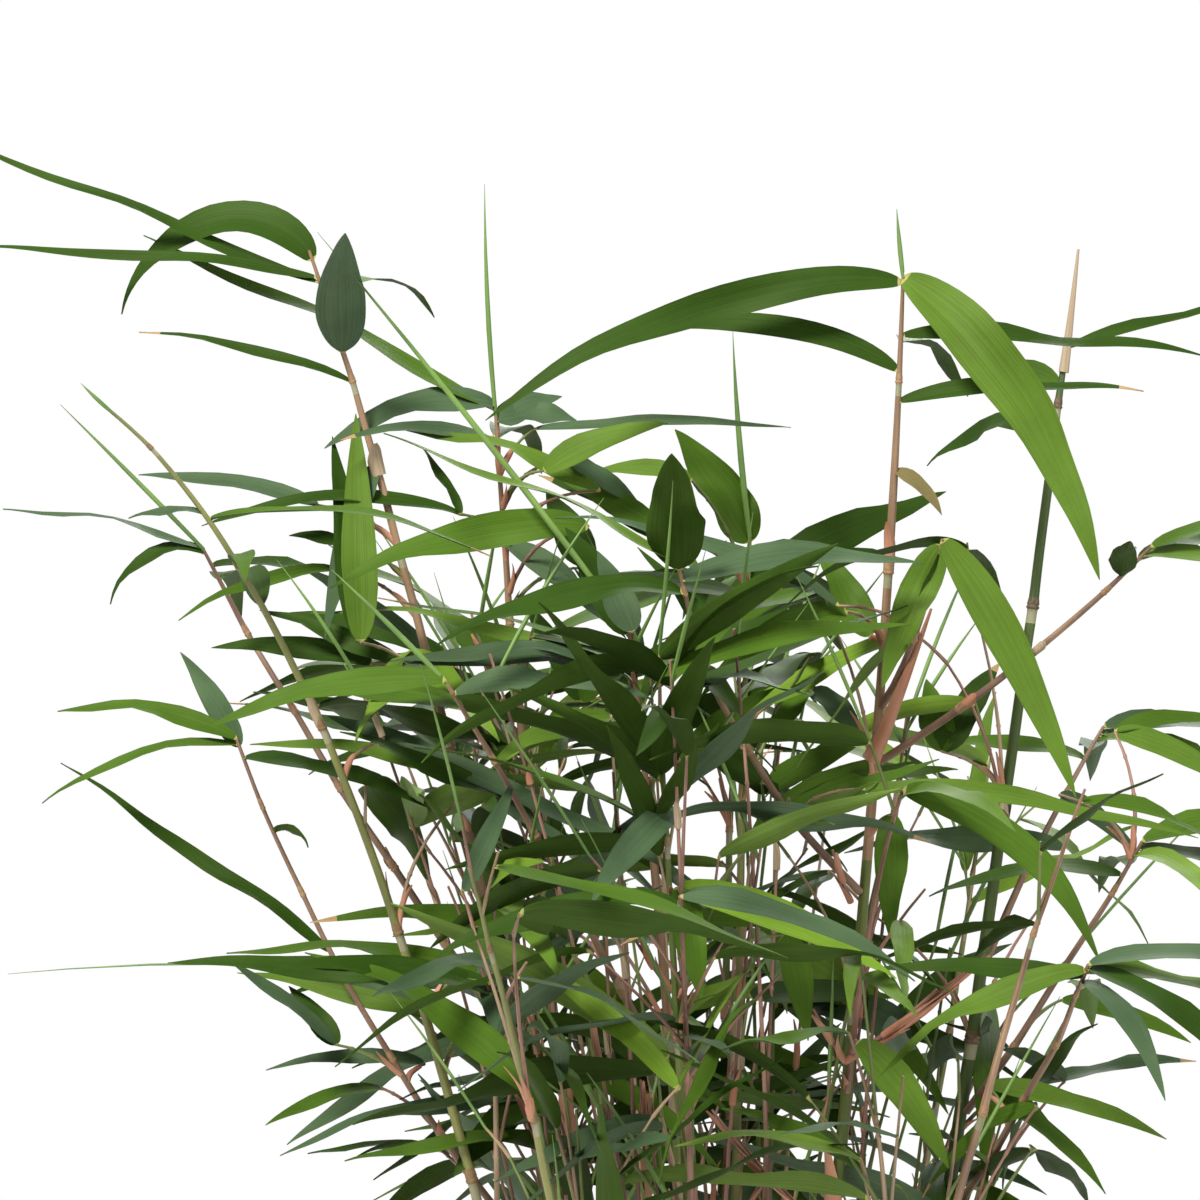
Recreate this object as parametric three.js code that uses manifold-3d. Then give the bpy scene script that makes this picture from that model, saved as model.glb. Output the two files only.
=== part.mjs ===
// A clump-forming bamboo in a round nursery pot, with the photographed side facing -Y and +Z up.
// Canes rise from the soil and lean outwards. Side boughs leave the taller canes. Masses of leaves grow by
// one seeded rule from the tips of canes and boughs, and on side shoots round the clump.
// Sizes are in millimetres and angles in degrees. A heading is 0 along +X and 90 along +Y.
// A rise is 0 when level and 90 straight up.

import * as THREE from "three";
import { mergeVertices } from "three/addons/utils/BufferGeometryUtils.js";
import Module from "manifold-3d";

const wasm = await Module();
wasm.setup();
const { Manifold } = wasm;

// Driving dimensions
const CLEARANCE = 0.3;
const SOIL_TOP = 160;
const POT = {
  height: 175,
  footRadius: 75,
  mouthRadius: 97,
  wall: 1.8,
  floor: 2.4,
  rimDepth: 16,
  rimReach: 3.2,
  rimBevel: 1,
  holes: 6,
  holeRadius: 7,
  holeCircle: 55,
  holeSides: 8,
  sides: 32,
};
const CANE = { sides: 6, jointSpacing: 82, jointSwell: 1.28, jointHalfHeight: 1.6, lastJoint: 0.97 };
const BOUGH = { sides: 5, steps: 6, footRadius: 1.5, tipRadius: 1.0 };
const TWIG = {
  sides: 3,
  stemRadius: 1.15,
  branchletRadius: 0.85,
  taper: 0.75,
  stemSteps: 4,
  branchletSteps: 2,
};
const LEAF = {
  leastThickness: 1.15,
  thicknessShare: 1 / 90,
  rootSunk: 3,
  steps: 24,
  bendPower: 0.8,
  widestPower: 0.6,
  fullness: 0.8,
  stations: [8],
  longFrom: 105,
  bentFrom: 25,
  bentStations: [6, 15],
  archedFrom: 90,
  archedStations: [5, 12, 19],
};
const CROWN = {
  centre: [5, 0],
  lowReach: 172,
  lowHeight: 395,
  highReach: 288,
  highHeight: 590,
  lowest: 205,
};
const TOP_LENGTH = 76;
const BOUGH_TOP_LENGTH = 30;
const MOST_FOOT_REACH = 8;
const MERGE_DISTANCE = 1e-4;
const SMALLEST_EDGE = 0.01;
const STEM_GAP = 1.4 * CLEARANCE;

// Leaves on a branchlet, spaced back from its tip. A pair of numbers is the range that each leaf is drawn
// from, and only so many of those tried are kept as solids.
const FAN = {
  tried: 6,
  kept: 4,
  spacing: 0.13,
  firstSpread: [-18, 18],
  spread: [20, 80],
  lift: [-38, 30],
  droop: [4, 48],
  length: [66, 118],
  slimness: [0.1, 0.145],
  roll: [-45, 45],
  mostRise: 62,
  riseShare: 0.4,
};

// A young leaf still rolled into a spear, and how often the first leaf of a fan or another one is one
const SPEAR = { lift: 35, droop: 6, lengthShare: 0.8, width: 2.4, oftenFirst: 0.2, oftenElse: 0.04 };

const BRANCHLET = { turn: [20, 75], lastTurn: [-15, 15], tilt: [-20, 25], mostRise: 75, kneeLift: 0.06 };

// Canes by their foot on the soil, the knee that the bow is pulled to, their tip, and the radii of the foot
// and of the cut where the leaves take over
const CANES = {
  culm_01: { foot: [-44, -22], knee: [-112, -45, 566], tip: [-210, -80, 648], radii: [2.2, 1.2] },
  culm_02: { foot: [-26, 8], knee: [-90, 10, 540], tip: [-148, -10, 709], radii: [2.3, 1.4] },
  culm_03: { foot: [-18, -2], knee: [-69, 0, 440], tip: [-82, 10, 655], radii: [2.1, 1.3] },
  culm_04: { foot: [-3, 12], knee: [-15, -10, 422], tip: [-34, -40, 574], radii: [2.3, 1.5] },
  culm_05: { foot: [17, -10], knee: [57, -20, 501], tip: [62, -40, 697], radii: [2.6, 1.5] },
  culm_06: { foot: [50, 5], knee: [100, 10, 476], tip: [130, 20, 706], radii: [3.1, 1.7] },
  culm_07: { foot: [0, -32], knee: [-17, -55, 422], tip: [-24, -95, 548], radii: [2.0, 1.2] },
  culm_08: { foot: [5, 28], knee: [5, 30, 440], tip: [11, 25, 607], radii: [2.1, 1.3] },
  culm_09: { foot: [-30, 32], knee: [-72, 90, 430], tip: [-100, 155, 550], radii: [2.1, 1.2] },
  culm_10: { foot: [2, 48], knee: [0, 110, 430], tip: [15, 190, 590], radii: [2.2, 1.2] },
  culm_11: { foot: [36, 38], knee: [90, 100, 400], tip: [112, 172, 508], radii: [2.1, 1.2] },
  culm_12: { foot: [-20, -40], knee: [-60, -110, 400], tip: [-85, -180, 500], radii: [2.0, 1.2] },
  culm_13: { foot: [30, -35], knee: [75, -100, 400], tip: [105, -165, 510], radii: [2.0, 1.2] },
};

// Boughs by the cane they leave, the share of its length where they do, their knee and their tip, and how
// far down from the tip their leaves begin where that isn't the usual length
const BOUGHS = {
  bough_01: { from: "culm_05", share: 0.62, knee: [106, -60, 562], tip: [143, -80, 602] },
  bough_02: { from: "culm_05", share: 0.66, knee: [66, -56, 566], tip: [74, -60, 605] },
  bough_03: { from: "culm_05", share: 0.53, knee: [-7, -60, 535], tip: [-18, -90, 597] },
  bough_04: { from: "culm_06", share: 0.4, knee: [114, -20, 440], tip: [147, -30, 499] },
  bough_05: { from: "culm_06", share: 0.33, knee: [112, -70, 425], tip: [118, -110, 463] },
  bough_06: { from: "culm_06", share: 0.5, knee: [118, 34, 498], tip: [143, 44, 537] },
  bough_07: { from: "culm_02", share: 0.25, knee: [-134, -10, 426], tip: [-172, -30, 535], top: 100 },
  bough_08: { from: "culm_02", share: 0.4, knee: [-145, 30, 516], tip: [-191, 40, 603] },
  bough_09: { from: "culm_04", share: 0.55, knee: [-62, -60, 498], tip: [-96, -90, 557] },
};

// Side shoots by the cane they leave, the share of its length where they do, and their tip
const SIDE_SHOOTS = {
  side_01: { from: "culm_01", share: 0.26, tip: [-81, -60, 452] },
  side_02: { from: "culm_02", share: 0.14, tip: [-66, 52, 372] },
  side_03: { from: "culm_09", share: 0.32, tip: [-82, 72, 425] },
  side_04: { from: "culm_09", share: 0.24, tip: [-40, 102, 385] },
  side_05: { from: "culm_10", share: 0.3, tip: [12, 120, 420] },
  side_06: { from: "culm_11", share: 0.22, tip: [58, 105, 380] },
  side_07: { from: "culm_11", share: 0.36, tip: [112, 65, 430] },
  side_08: { from: "culm_06", share: 0.2, tip: [108, 15, 388] },
  side_09: { from: "culm_13", share: 0.22, tip: [92, -52, 372] },
  side_10: { from: "culm_13", share: 0.34, tip: [48, -102, 412] },
  side_11: { from: "culm_07", share: 0.4, tip: [-18, -140, 488] },
  side_12: { from: "culm_12", share: 0.26, tip: [-52, -88, 382] },
  side_13: { from: "culm_05", share: 0.4, tip: [58, -90, 520] },
  side_14: { from: "culm_03", share: 0.5, tip: [-76, 72, 526] },
};
const SHOOT_KNEE = { share: 0.42, lift: 30 };

// Branchlets on a side shoot and on a top: where on the stem the first and the last one leave, how many
// there are, and the range of their length
const ON_SHOOT = { firstFan: 0.22, lastFan: 0.965, fans: 10, branchlet: [28, 60] };
const ON_TOP = { firstFan: 0.15, lastFan: 0.96, fans: 5, branchlet: [14, 36] };

// Leaves that stand out singly at a tip, each as millimetres below the tip, heading, rise, droop from
// base to point, length, width and roll
const TIP_LEAVES = {
  culm_01: [
    [42, 185, 12, 30, 26, 5, -30],
    [44, -5, 14, 40, 100, 7, 20],
    [70, 100, 30, 40, 75, 10, -20],
    [58, -80, 20, 50, 60, 9, 10],
  ],
  culm_02: [
    [4, 172, 58, 134, 92, 15, -60],
    [12, 178, 20, -4, 150, 8, -60],
    [10, 182, 10, 10, 128, 6, -60],
    [36, -76, 36, 10, 70, 22, 0],
    [46, 178, 24, 20, 80, 5, -8],
    [72, 200, -66, 14, 66, 11, -50],
    [16, 60, 30, 60, 85, 11, 20],
  ],
  culm_03: [
    [2, 182, 29, 5, 142, 9, -35],
    [4, 176, 84, -6, 84, 3, 0],
    [0, 190, 12, 50, 66, 12, -50],
    [6, 10, 22, 40, 30, 12, 50],
    [12, 80, 20, 50, 90, 13, 10],
  ],
  culm_04: [
    [2, 170, 66, 14, 44, 14, -75],
    [0, 181, 54, 4, 176, 4, -30],
    [12, 186, 12, 22, 86, 9, -40],
    [8, 175, 15, 6, 92, 5, -20],
    [16, -60, 20, 60, 80, 13, 10],
  ],
  culm_05: [
    [2, 184, 4, 42, 158, 17, -68],
    [0, -20, -34, 42, 130, 27, 68],
    [32, 172, 34, 54, 116, 12, -30],
    [20, 8, 6, 18, 112, 7, 22],
    [42, -4, 14, 22, 86, 7, 30],
    [0, 150, 82, -4, 24, 2.5, 0],
    [64, -20, -10, 60, 24, 9, 50],
    [22, 95, 25, 50, 95, 14, 15],
  ],
  culm_06: [
    [30, 4, 20, 10, 80, 5, 20],
    [60, 120, 20, 50, 85, 12, -20],
    [44, 60, 25, 40, 90, 11, 20],
  ],
  culm_08: [
    [2, 174, 64, 14, 50, 18, -72],
    [0, 176, 82, -6, 76, 4, 0],
    [6, 4, 8, 18, 56, 9, 40],
    [16, 12, 30, 12, 84, 15, 55],
    [22, 178, 20, 40, 90, 12, -30],
    [30, 80, 25, 45, 90, 12, 0],
  ],
  bough_01: [
    [14, -110, 30, 20, 34, 10, 0],
    [0, 5, 28, 50, 78, 9, 30],
    [4, -5, 6, 40, 78, 10, 30],
    [10, 80, 20, 50, 80, 11, 0],
  ],
  bough_02: [
    [2, 196, -44, 26, 56, 17, -72],
    [0, -12, -28, 42, 92, 18, 66],
    [5, -80, -20, 50, 40, 9, 0],
    [8, 70, 20, 60, 85, 13, 10],
  ],
  bough_03: [
    [0, 182, 29, 10, 108, 6, -30],
    [3, -96, 52, 10, 52, 20, 0],
    [7, 8, 20, 30, 84, 13, 40],
    [12, 200, 10, 40, 90, 12, -40],
  ],
  bough_04: [
    [0, 0, 25, 40, 80, 12, 35],
    [3, 10, 0, 40, 80, 11, 30],
    [6, -60, 10, 60, 70, 10, 20],
    [10, 90, 15, 50, 75, 11, 0],
    [14, 180, 15, 40, 70, 10, -30],
  ],
  bough_05: [
    [0, 5, 18, 40, 75, 10, 30],
    [2, -20, -10, 50, 75, 11, 30],
    [4, 15, 5, 40, 80, 12, 30],
    [6, 170, 40, 20, 70, 14, -50],
    [8, -60, -10, 50, 60, 10, 10],
    [12, 80, 10, 50, 75, 11, 0],
    [3, 185, -5, 40, 80, 10, -40],
  ],
  bough_06: [
    [0, 0, 14, 40, 80, 12, 35],
    [3, 10, -4, 40, 80, 11, 30],
    [6, -30, 10, 60, 70, 10, 20],
    [10, 80, 15, 50, 75, 11, 0],
    [14, 170, 20, 30, 60, 9, -30],
  ],
  bough_07: [
    [85, 180, 37, 4, 118, 6, -30],
    [60, 170, 20, 40, 80, 10, -40],
    [50, -10, 10, 40, 80, 10, 30],
    [40, 100, 10, 50, 75, 11, 0],
    [30, -100, 10, 50, 70, 11, 0],
    [0, 178, 30, 40, 66, 8, -45],
    [3, 150, 60, 14, 42, 9, -70],
    [2, 184, 8, 46, 74, 5, -40],
    [7, -10, 2, 30, 70, 10, 30],
    [16, 80, 10, 50, 70, 11, 0],
  ],
  bough_08: [
    [0, 180, 22, 20, 76, 5, -25],
    [2, 178, 28, 104, 46, 7, -40],
    [0, 176, 46, 2, 76, 3, 0],
    [7, 10, 10, 40, 60, 9, 20],
    [13, 90, 20, 60, 75, 11, 0],
  ],
  bough_09: [
    [0, 184, 6, 32, 82, 12, -62],
    [2, 172, 46, 4, 56, 3, 0],
    [6, -10, 20, 40, 70, 11, 40],
    [12, 150, 20, 40, 90, 12, -30],
  ],
  side_01: [
    [0, 180, 4, 10, 168, 10, -30],
    [4, 200, 24, 30, 80, 11, -40],
  ],
  side_11: [
    [0, -5, 2, 40, 82, 11, 40],
    [4, 190, 10, 40, 84, 11, -40],
  ],
  side_13: [
    [0, -8, -8, 62, 92, 13, 60],
    [4, -60, 20, 50, 70, 11, 20],
  ],
};

// Finishes
const FINISH = {
  pot: { color: 0x26292a, roughness: 0.55 },
  soil: { color: 0x3a291c, roughness: 1 },
  cane: { color: 0x7c8a3c, roughness: 0.5 },
  bough: { color: 0x93663f, roughness: 0.6 },
  leaves: { color: 0x3f6b2c, roughness: 0.5 },
};
const materials = {};
for (const [name, finish] of Object.entries(FINISH)) {
  materials[name] = new THREE.MeshStandardMaterial({ metalness: 0, ...finish });
}

// Random numbers that come out alike on every run
class Seeded {
  constructor(seed) {
    this.state = ((seed * 7919) % 2147483646) + 1;
    this.between(0, 1);
  }

  between(low, high) {
    this.state = (this.state * 48271) % 2147483647;
    return low + ((high - low) * this.state) / 2147483647;
  }
}

const radians = THREE.MathUtils.degToRad;
const vector = (values) => new THREE.Vector3(...values);

// The unit vector of a heading and a rise
function direction(heading, rise) {
  const [turn, lift] = [radians(heading), radians(rise)];
  return vector([Math.cos(lift) * Math.cos(turn), Math.cos(lift) * Math.sin(turn), Math.sin(lift)]);
}

function headingOf(way) {
  return THREE.MathUtils.radToDeg(Math.atan2(way.y, way.x));
}

function riseOf(way) {
  return THREE.MathUtils.radToDeg(Math.atan2(way.z, Math.hypot(way.x, way.y)));
}

// The level vector to the right of a way, and the one that stands on both
function frameOf(way) {
  const right = direction(headingOf(way) - 90, 0);
  return { right, up: new THREE.Vector3().crossVectors(right, way) };
}

function bowOf(foot, knee, tip) {
  return new THREE.QuadraticBezierCurve3(foot, knee, tip);
}

// The share of a bow that lies so many millimetres below its tip, from its pace at the tip
function shareBelow(bow, distance) {
  return 1 - distance / (2 * bow.v2.distanceTo(bow.v1));
}

// A closed body over rings of points. A ring of one point is a pointed end.
function skin(rings) {
  const positions = rings.flat().flatMap((point) => point.toArray());
  const starts = rings.map((_, row) => rings.slice(0, row).flat().length);
  const faces = [];
  const cap = (ring, start, turned) => {
    for (let i = 1; i < ring.length - 1; i++) {
      faces.push(turned ? [start, start + i + 1, start + i] : [start, start + i, start + i + 1]);
    }
  };
  cap(rings[0], starts[0], true);
  cap(rings.at(-1), starts.at(-1), false);
  for (let row = 0; row < rings.length - 1; row++) {
    const [low, high] = [rings[row].length, rings[row + 1].length];
    const sides = Math.max(low, high);
    for (let i = 0; i < sides; i++) {
      const next = (i + 1) % sides;
      const a = starts[row] + (low === 1 ? 0 : i);
      const b = starts[row] + (low === 1 ? 0 : next);
      const c = starts[row + 1] + (high === 1 ? 0 : next);
      const d = starts[row + 1] + (high === 1 ? 0 : i);
      if (low > 1) faces.push([a, b, c]);
      if (high > 1) faces.push([a, c, d]);
    }
  }
  const geometry = new THREE.BufferGeometry();
  geometry.setAttribute("position", new THREE.Float32BufferAttribute(positions, 3));
  geometry.setIndex(faces.flat());
  return solidOf(geometry);
}

// Points round a centre, going anticlockwise as seen from where the way points
function ring(centre, { right, up }, radius, sides) {
  return Array.from({ length: sides }, (_, i) => {
    const turn = (-2 * Math.PI * i) / sides;
    return centre
      .clone()
      .addScaledVector(right, radius * Math.cos(turn))
      .addScaledVector(up, radius * Math.sin(turn));
  });
}

function solidOf(geometry) {
  const bare = new THREE.BufferGeometry();
  bare.setAttribute("position", geometry.getAttribute("position"));
  bare.setIndex(geometry.index);
  const merged = mergeVertices(bare, MERGE_DISTANCE);
  return new Manifold(
    new wasm.Mesh({
      numProp: 3,
      vertProperties: new Float32Array(merged.attributes.position.array),
      triVerts: new Uint32Array(merged.index.array),
    }),
  );
}

function meshOf(name, solid, material) {
  const { vertProperties, triVerts } = solid.getMesh();
  const geometry = new THREE.BufferGeometry();
  geometry.setAttribute("position", new THREE.BufferAttribute(vertProperties, 3));
  geometry.setIndex(new THREE.BufferAttribute(triVerts, 1));
  geometry.computeVertexNormals();
  const mesh = new THREE.Mesh(geometry, material);
  mesh.name = name;
  return mesh;
}

// The outer radius of the pot's wall at a height
function outer(height) {
  return THREE.MathUtils.mapLinear(height, 0, POT.height, POT.footRadius, POT.mouthRadius);
}

// Pot: a tapered wall with a stiffening rim turned down outside, a flat floor and drainage holes in it
function makePot() {
  const rimFoot = POT.height - POT.rimDepth;
  const profile = [
    [0, 0],
    [outer(0), 0],
    [outer(rimFoot), rimFoot],
    [outer(rimFoot) + POT.rimReach, rimFoot],
    [outer(POT.height) + POT.rimReach, POT.height - POT.rimBevel],
    [outer(POT.height) + POT.rimReach - POT.rimBevel, POT.height],
    [outer(POT.height) - POT.wall, POT.height],
    [outer(POT.floor) - POT.wall, POT.floor],
    [0, POT.floor],
  ].map(([radius, height]) => new THREE.Vector2(radius, height));
  const shell = solidOf(new THREE.LatheGeometry(profile, POT.sides).rotateX(Math.PI / 2));
  const drill = new THREE.CylinderGeometry(POT.holeRadius, POT.holeRadius, 4 * POT.floor, POT.holeSides);
  drill.rotateX(Math.PI / 2);
  const drills = Array.from({ length: POT.holes }, (_, i) => {
    const turn = (2 * Math.PI * i) / POT.holes;
    return solidOf(drill).translate([POT.holeCircle * Math.cos(turn), POT.holeCircle * Math.sin(turn), 0]);
  });
  return shell.subtract(Manifold.union(drills));
}

// Soil: fills the pot to below its rim
function makeSoil() {
  const inner = (height) => outer(height) - POT.wall - 1.5 * CLEARANCE;
  const foot = POT.floor + CLEARANCE;
  const profile = [
    [0, foot],
    [inner(foot), foot],
    [inner(SOIL_TOP), SOIL_TOP],
    [0, SOIL_TOP],
  ].map(([radius, height]) => new THREE.Vector2(radius, height));
  return solidOf(new THREE.LatheGeometry(profile, POT.sides).rotateX(Math.PI / 2));
}

// Cane: tapers from a level cut at the soil, with a swollen joint at every even step
function makeCane(bow, [footRadius, endRadius], end) {
  const length = bow.getLength() * end;
  const joints = Math.floor(length / CANE.jointSpacing);
  const stations = [];
  for (let joint = 1; joint <= joints; joint++) {
    const middle = (joint * CANE.jointSpacing) / length;
    if (middle > CANE.lastJoint) continue;
    const half = CANE.jointHalfHeight / length;
    stations.push([middle - half, 1], [middle, CANE.jointSwell], [middle + half, 1]);
  }
  stations.push([1, 1]);
  const rings = stations.map(([along, swell]) => {
    const share = along * end;
    const radius = THREE.MathUtils.lerp(footRadius, endRadius, along) * swell;
    return ring(bow.getPoint(share), frameOf(bow.getTangent(share)), radius, CANE.sides);
  });
  const { right } = frameOf(bow.getTangent(0));
  const level = { right, up: right.clone().cross(vector([0, 0, 1])) };
  return skin([ring(bow.getPoint(0), level, footRadius, CANE.sides), ...rings]);
}

function makeBough(bow, topLength) {
  const end = shareBelow(bow, topLength);
  return taperedTube(bow, 0, end, BOUGH.footRadius, BOUGH.tipRadius, BOUGH.steps, BOUGH.sides);
}

function taperedTube(bow, start, end, startRadius, endRadius, steps, sides) {
  const rings = Array.from({ length: steps + 1 }, (_, i) => {
    const share = THREE.MathUtils.lerp(start, end, i / steps);
    const radius = THREE.MathUtils.lerp(startRadius, endRadius, i / steps);
    return ring(bow.getPoint(share), frameOf(bow.getTangent(share)), radius, sides);
  });
  return skin(rings);
}

// The middle line of a leaf, bent down along its length, as places with the way that each one looks
function leafLine(base, heading, rise, droop, length) {
  const place = base.clone();
  return Array.from({ length: LEAF.steps + 1 }, (_, i) => {
    const share = i / LEAF.steps;
    const way = direction(heading, rise - droop * share ** LEAF.bendPower);
    const here = { share, way, place: place.clone() };
    place.addScaledVector(way, length / LEAF.steps);
    return here;
  });
}

// Leaf: pointed at both ends, widest near its base, keeled along its underside
function makeLeaf(root, line, droop, length, width, roll) {
  const thickness = Math.max(LEAF.leastThickness, length * LEAF.thicknessShare);
  const long = length > LEAF.longFrom && droop > LEAF.bentFrom;
  const stations = droop > LEAF.archedFrom ? LEAF.archedStations : long ? LEAF.bentStations : LEAF.stations;
  const rings = stations.map((station) => {
    const { share, way, place } = line[station];
    const { right, up } = frameOf(way);
    const [turnCos, turnSin] = [Math.cos(radians(roll)), Math.sin(radians(roll))];
    const side = right.clone().multiplyScalar(turnCos).addScaledVector(up, -turnSin);
    const face = up.clone().multiplyScalar(turnCos).addScaledVector(right, turnSin);
    const halfWidth = Math.max(0.5 * width * bladeWidth(share), 0.5 * thickness);
    return [
      place.clone().addScaledVector(side, halfWidth),
      place.clone().addScaledVector(face, -thickness),
      place.clone().addScaledVector(side, -halfWidth),
    ];
  });
  return skin([[root], ...rings, [line.at(-1).place]]);
}

// Width of a blade at a share of its length, as a share of its greatest width
function bladeWidth(share) {
  return Math.sin(Math.PI * share ** LEAF.widestPower) ** LEAF.fullness;
}

// What stands in the plant so far, each with the limb, mass or fan that it belongs to
const standing = [];

function clearOf(solid, joins) {
  const { min, max } = solid.boundingBox();
  return standing.every((other) => {
    if (joins === other.group) return true;
    const apart = [0, 1, 2].some((axis) => {
      const [start, end] = [min[axis] - CLEARANCE, max[axis] + CLEARANCE];
      return start > other.box.max[axis] || end < other.box.min[axis];
    });
    return apart || solid.minGap(other.solid, CLEARANCE) >= CLEARANCE;
  });
}

// The crown is narrow low down and wide above, and a leaf whose point would leave it is skipped
function insideCrown({ x, y, z }) {
  const { centre, lowReach, lowHeight, highReach, highHeight, lowest } = CROWN;
  const reach = THREE.MathUtils.mapLinear(z, lowHeight, highHeight, lowReach, highReach);
  const most = THREE.MathUtils.clamp(reach, lowReach, highReach);
  return Math.hypot(x - centre[0], y - centre[1]) < most && z > lowest;
}

// Adds a piece to its owner where it stands clear of everything but the group that it joins
function keep(owner, solid, group = owner, joins = group) {
  if (!clearOf(solid, joins)) return false;
  standing.push({ solid, box: solid.boundingBox(), group });
  owner.pieces.push(solid);
  return true;
}

// The bow of a limb that leaves another: its foot is set out from the other's middle as far as it has to be
// to stand clear of the bark
function leave(parent, share, tip, kneeOf, bodyOf, owner) {
  const axis = parent.getPoint(share);
  const along = parent.getTangent(share);
  const out = tip.clone().sub(axis);
  out.addScaledVector(along, -out.dot(along)).normalize();
  for (let reach = BOUGH.footRadius; ; reach += 0.5 * CLEARANCE) {
    const foot = axis.clone().addScaledVector(out, reach);
    const bow = bowOf(foot, kneeOf(foot), tip);
    if (keep(owner, bodyOf(bow))) return bow;
    if (reach > MOST_FOOT_REACH) throw new Error("a limb finds no clear foot: " + owner.name);
  }
}

// The part of a bow between two shares of it
function partOfBow(bow, start, end) {
  const knee = bow.v0
    .clone()
    .multiplyScalar((1 - start) * (1 - end))
    .addScaledVector(bow.v1, start * (1 - end) + end * (1 - start))
    .addScaledVector(bow.v2, start * end);
  return bowOf(bow.getPoint(start), knee, bow.getPoint(end));
}

// The places of a fan's leaves: the first goes on along the branchlet, the others out to both sides
function fanLeaves(draw, bow) {
  let side = draw.between(0, 1) < 0.5 ? 1 : -1;
  return Array.from({ length: FAN.tried }, (_, number) => {
    const share = 1 - FAN.spacing * number;
    const way = bow.getTangent(share);
    const spread = number === 0 ? draw.between(...FAN.firstSpread) : side * draw.between(...FAN.spread);
    const lift = draw.between(...FAN.lift);
    const droop = draw.between(...FAN.droop);
    const length = draw.between(...FAN.length);
    const width = length * draw.between(...FAN.slimness);
    const roll = draw.between(...FAN.roll);
    const rolledUp = draw.between(0, 1) < (number === 0 ? SPEAR.oftenFirst : SPEAR.oftenElse);
    const heading = headingOf(way) + spread;
    const rise = FAN.riseShare * Math.min(riseOf(way), FAN.mostRise);
    const open = [heading, rise + lift, droop, length, width, roll];
    const spear = [heading, rise + SPEAR.lift, SPEAR.droop, SPEAR.lengthShare * length, SPEAR.width, roll];
    side = -side;
    return { share, shape: rolledUp ? spear : open };
  });
}

// Branchlets along a stem, turned out to alternate sides, the last one straight on
function fansOf(stem, seed, { firstFan, lastFan, fans, branchlet }) {
  return Array.from({ length: fans }, (_, number) => {
    const draw = new Seeded(100 * seed + number);
    const share = THREE.MathUtils.lerp(firstFan, lastFan, number / (fans - 1));
    const foot = stem.getPoint(share);
    const way = stem.getTangent(share);
    const side = number % 2 ? 1 : -1;
    const last = number === fans - 1;
    const turn = last ? draw.between(...BRANCHLET.lastTurn) : side * draw.between(...BRANCHLET.turn);
    const tilt = draw.between(...BRANCHLET.tilt);
    const length = draw.between(...branchlet);
    const out = direction(headingOf(way) + turn, Math.min(BRANCHLET.mostRise, riseOf(way) + tilt));
    const knee = foot.clone().addScaledVector(out, 0.5 * length);
    knee.z += BRANCHLET.kneeLift * length;
    const twig = bowOf(foot, knee, foot.clone().addScaledVector(out, length));
    return { twig, leaves: fanLeaves(draw, twig) };
  });
}

function stemBody(bow) {
  return taperedTube(bow, 0, 1, TWIG.stemRadius, TWIG.stemRadius * TWIG.taper, TWIG.stemSteps, TWIG.sides);
}

function branchletBody(bow) {
  const { branchletRadius, taper, branchletSteps, sides } = TWIG;
  return taperedTube(bow, 0, 1, branchletRadius, branchletRadius * taper, branchletSteps, sides);
}

// A leaf on a stem or branchlet, its root sunk into it
function leafOn(bow, share, [heading, rise, droop, length, width, roll]) {
  const root = bow.getPoint(Math.max(0, share - LEAF.rootSunk / bow.getLength()));
  const line = leafLine(bow.getPoint(share), heading, rise, droop, length);
  return { body: makeLeaf(root, line, droop, length, width, roll), point: line.at(-1).place };
}

// The pieces of an owner as one body: the largest one, with any loose scrap or sealed hollow left out
function oneBody(owner) {
  const bodies = Manifold.union(owner.pieces).asOriginal().simplify(SMALLEST_EDGE).decompose();
  return bodies.reduce((best, body) => (body.volume() > best.volume() ? body : best));
}

const plant = new THREE.Group();
const groups = {};
for (const name of ["potted", "canes", "boughs", "foliage"]) {
  groups[name] = new THREE.Group();
  plant.add(groups[name]);
}

groups.potted.add(meshOf("pot", makePot(), materials.pot));
groups.potted.add(meshOf("soil", makeSoil(), materials.soil));

// Canes, each cut where its leaves take over
const limbs = {};
for (const [name, { foot, knee, tip, radii }] of Object.entries(CANES)) {
  const bow = bowOf(vector([...foot, SOIL_TOP + CLEARANCE]), vector(knee), vector(tip));
  limbs[name] = { name, bow, topLength: TOP_LENGTH, pieces: [] };
  const body = makeCane(bow, radii, shareBelow(bow, TOP_LENGTH));
  if (!keep(limbs[name], body)) throw new Error("two canes touch: " + name);
}

for (const [name, { from, share, knee, tip, top = BOUGH_TOP_LENGTH }] of Object.entries(BOUGHS)) {
  limbs[name] = { name, topLength: top, pieces: [] };
  const bodyOf = (bow) => makeBough(bow, top);
  limbs[name].bow = leave(limbs[from].bow, share, vector(tip), () => vector(knee), bodyOf, limbs[name]);
}

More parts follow.
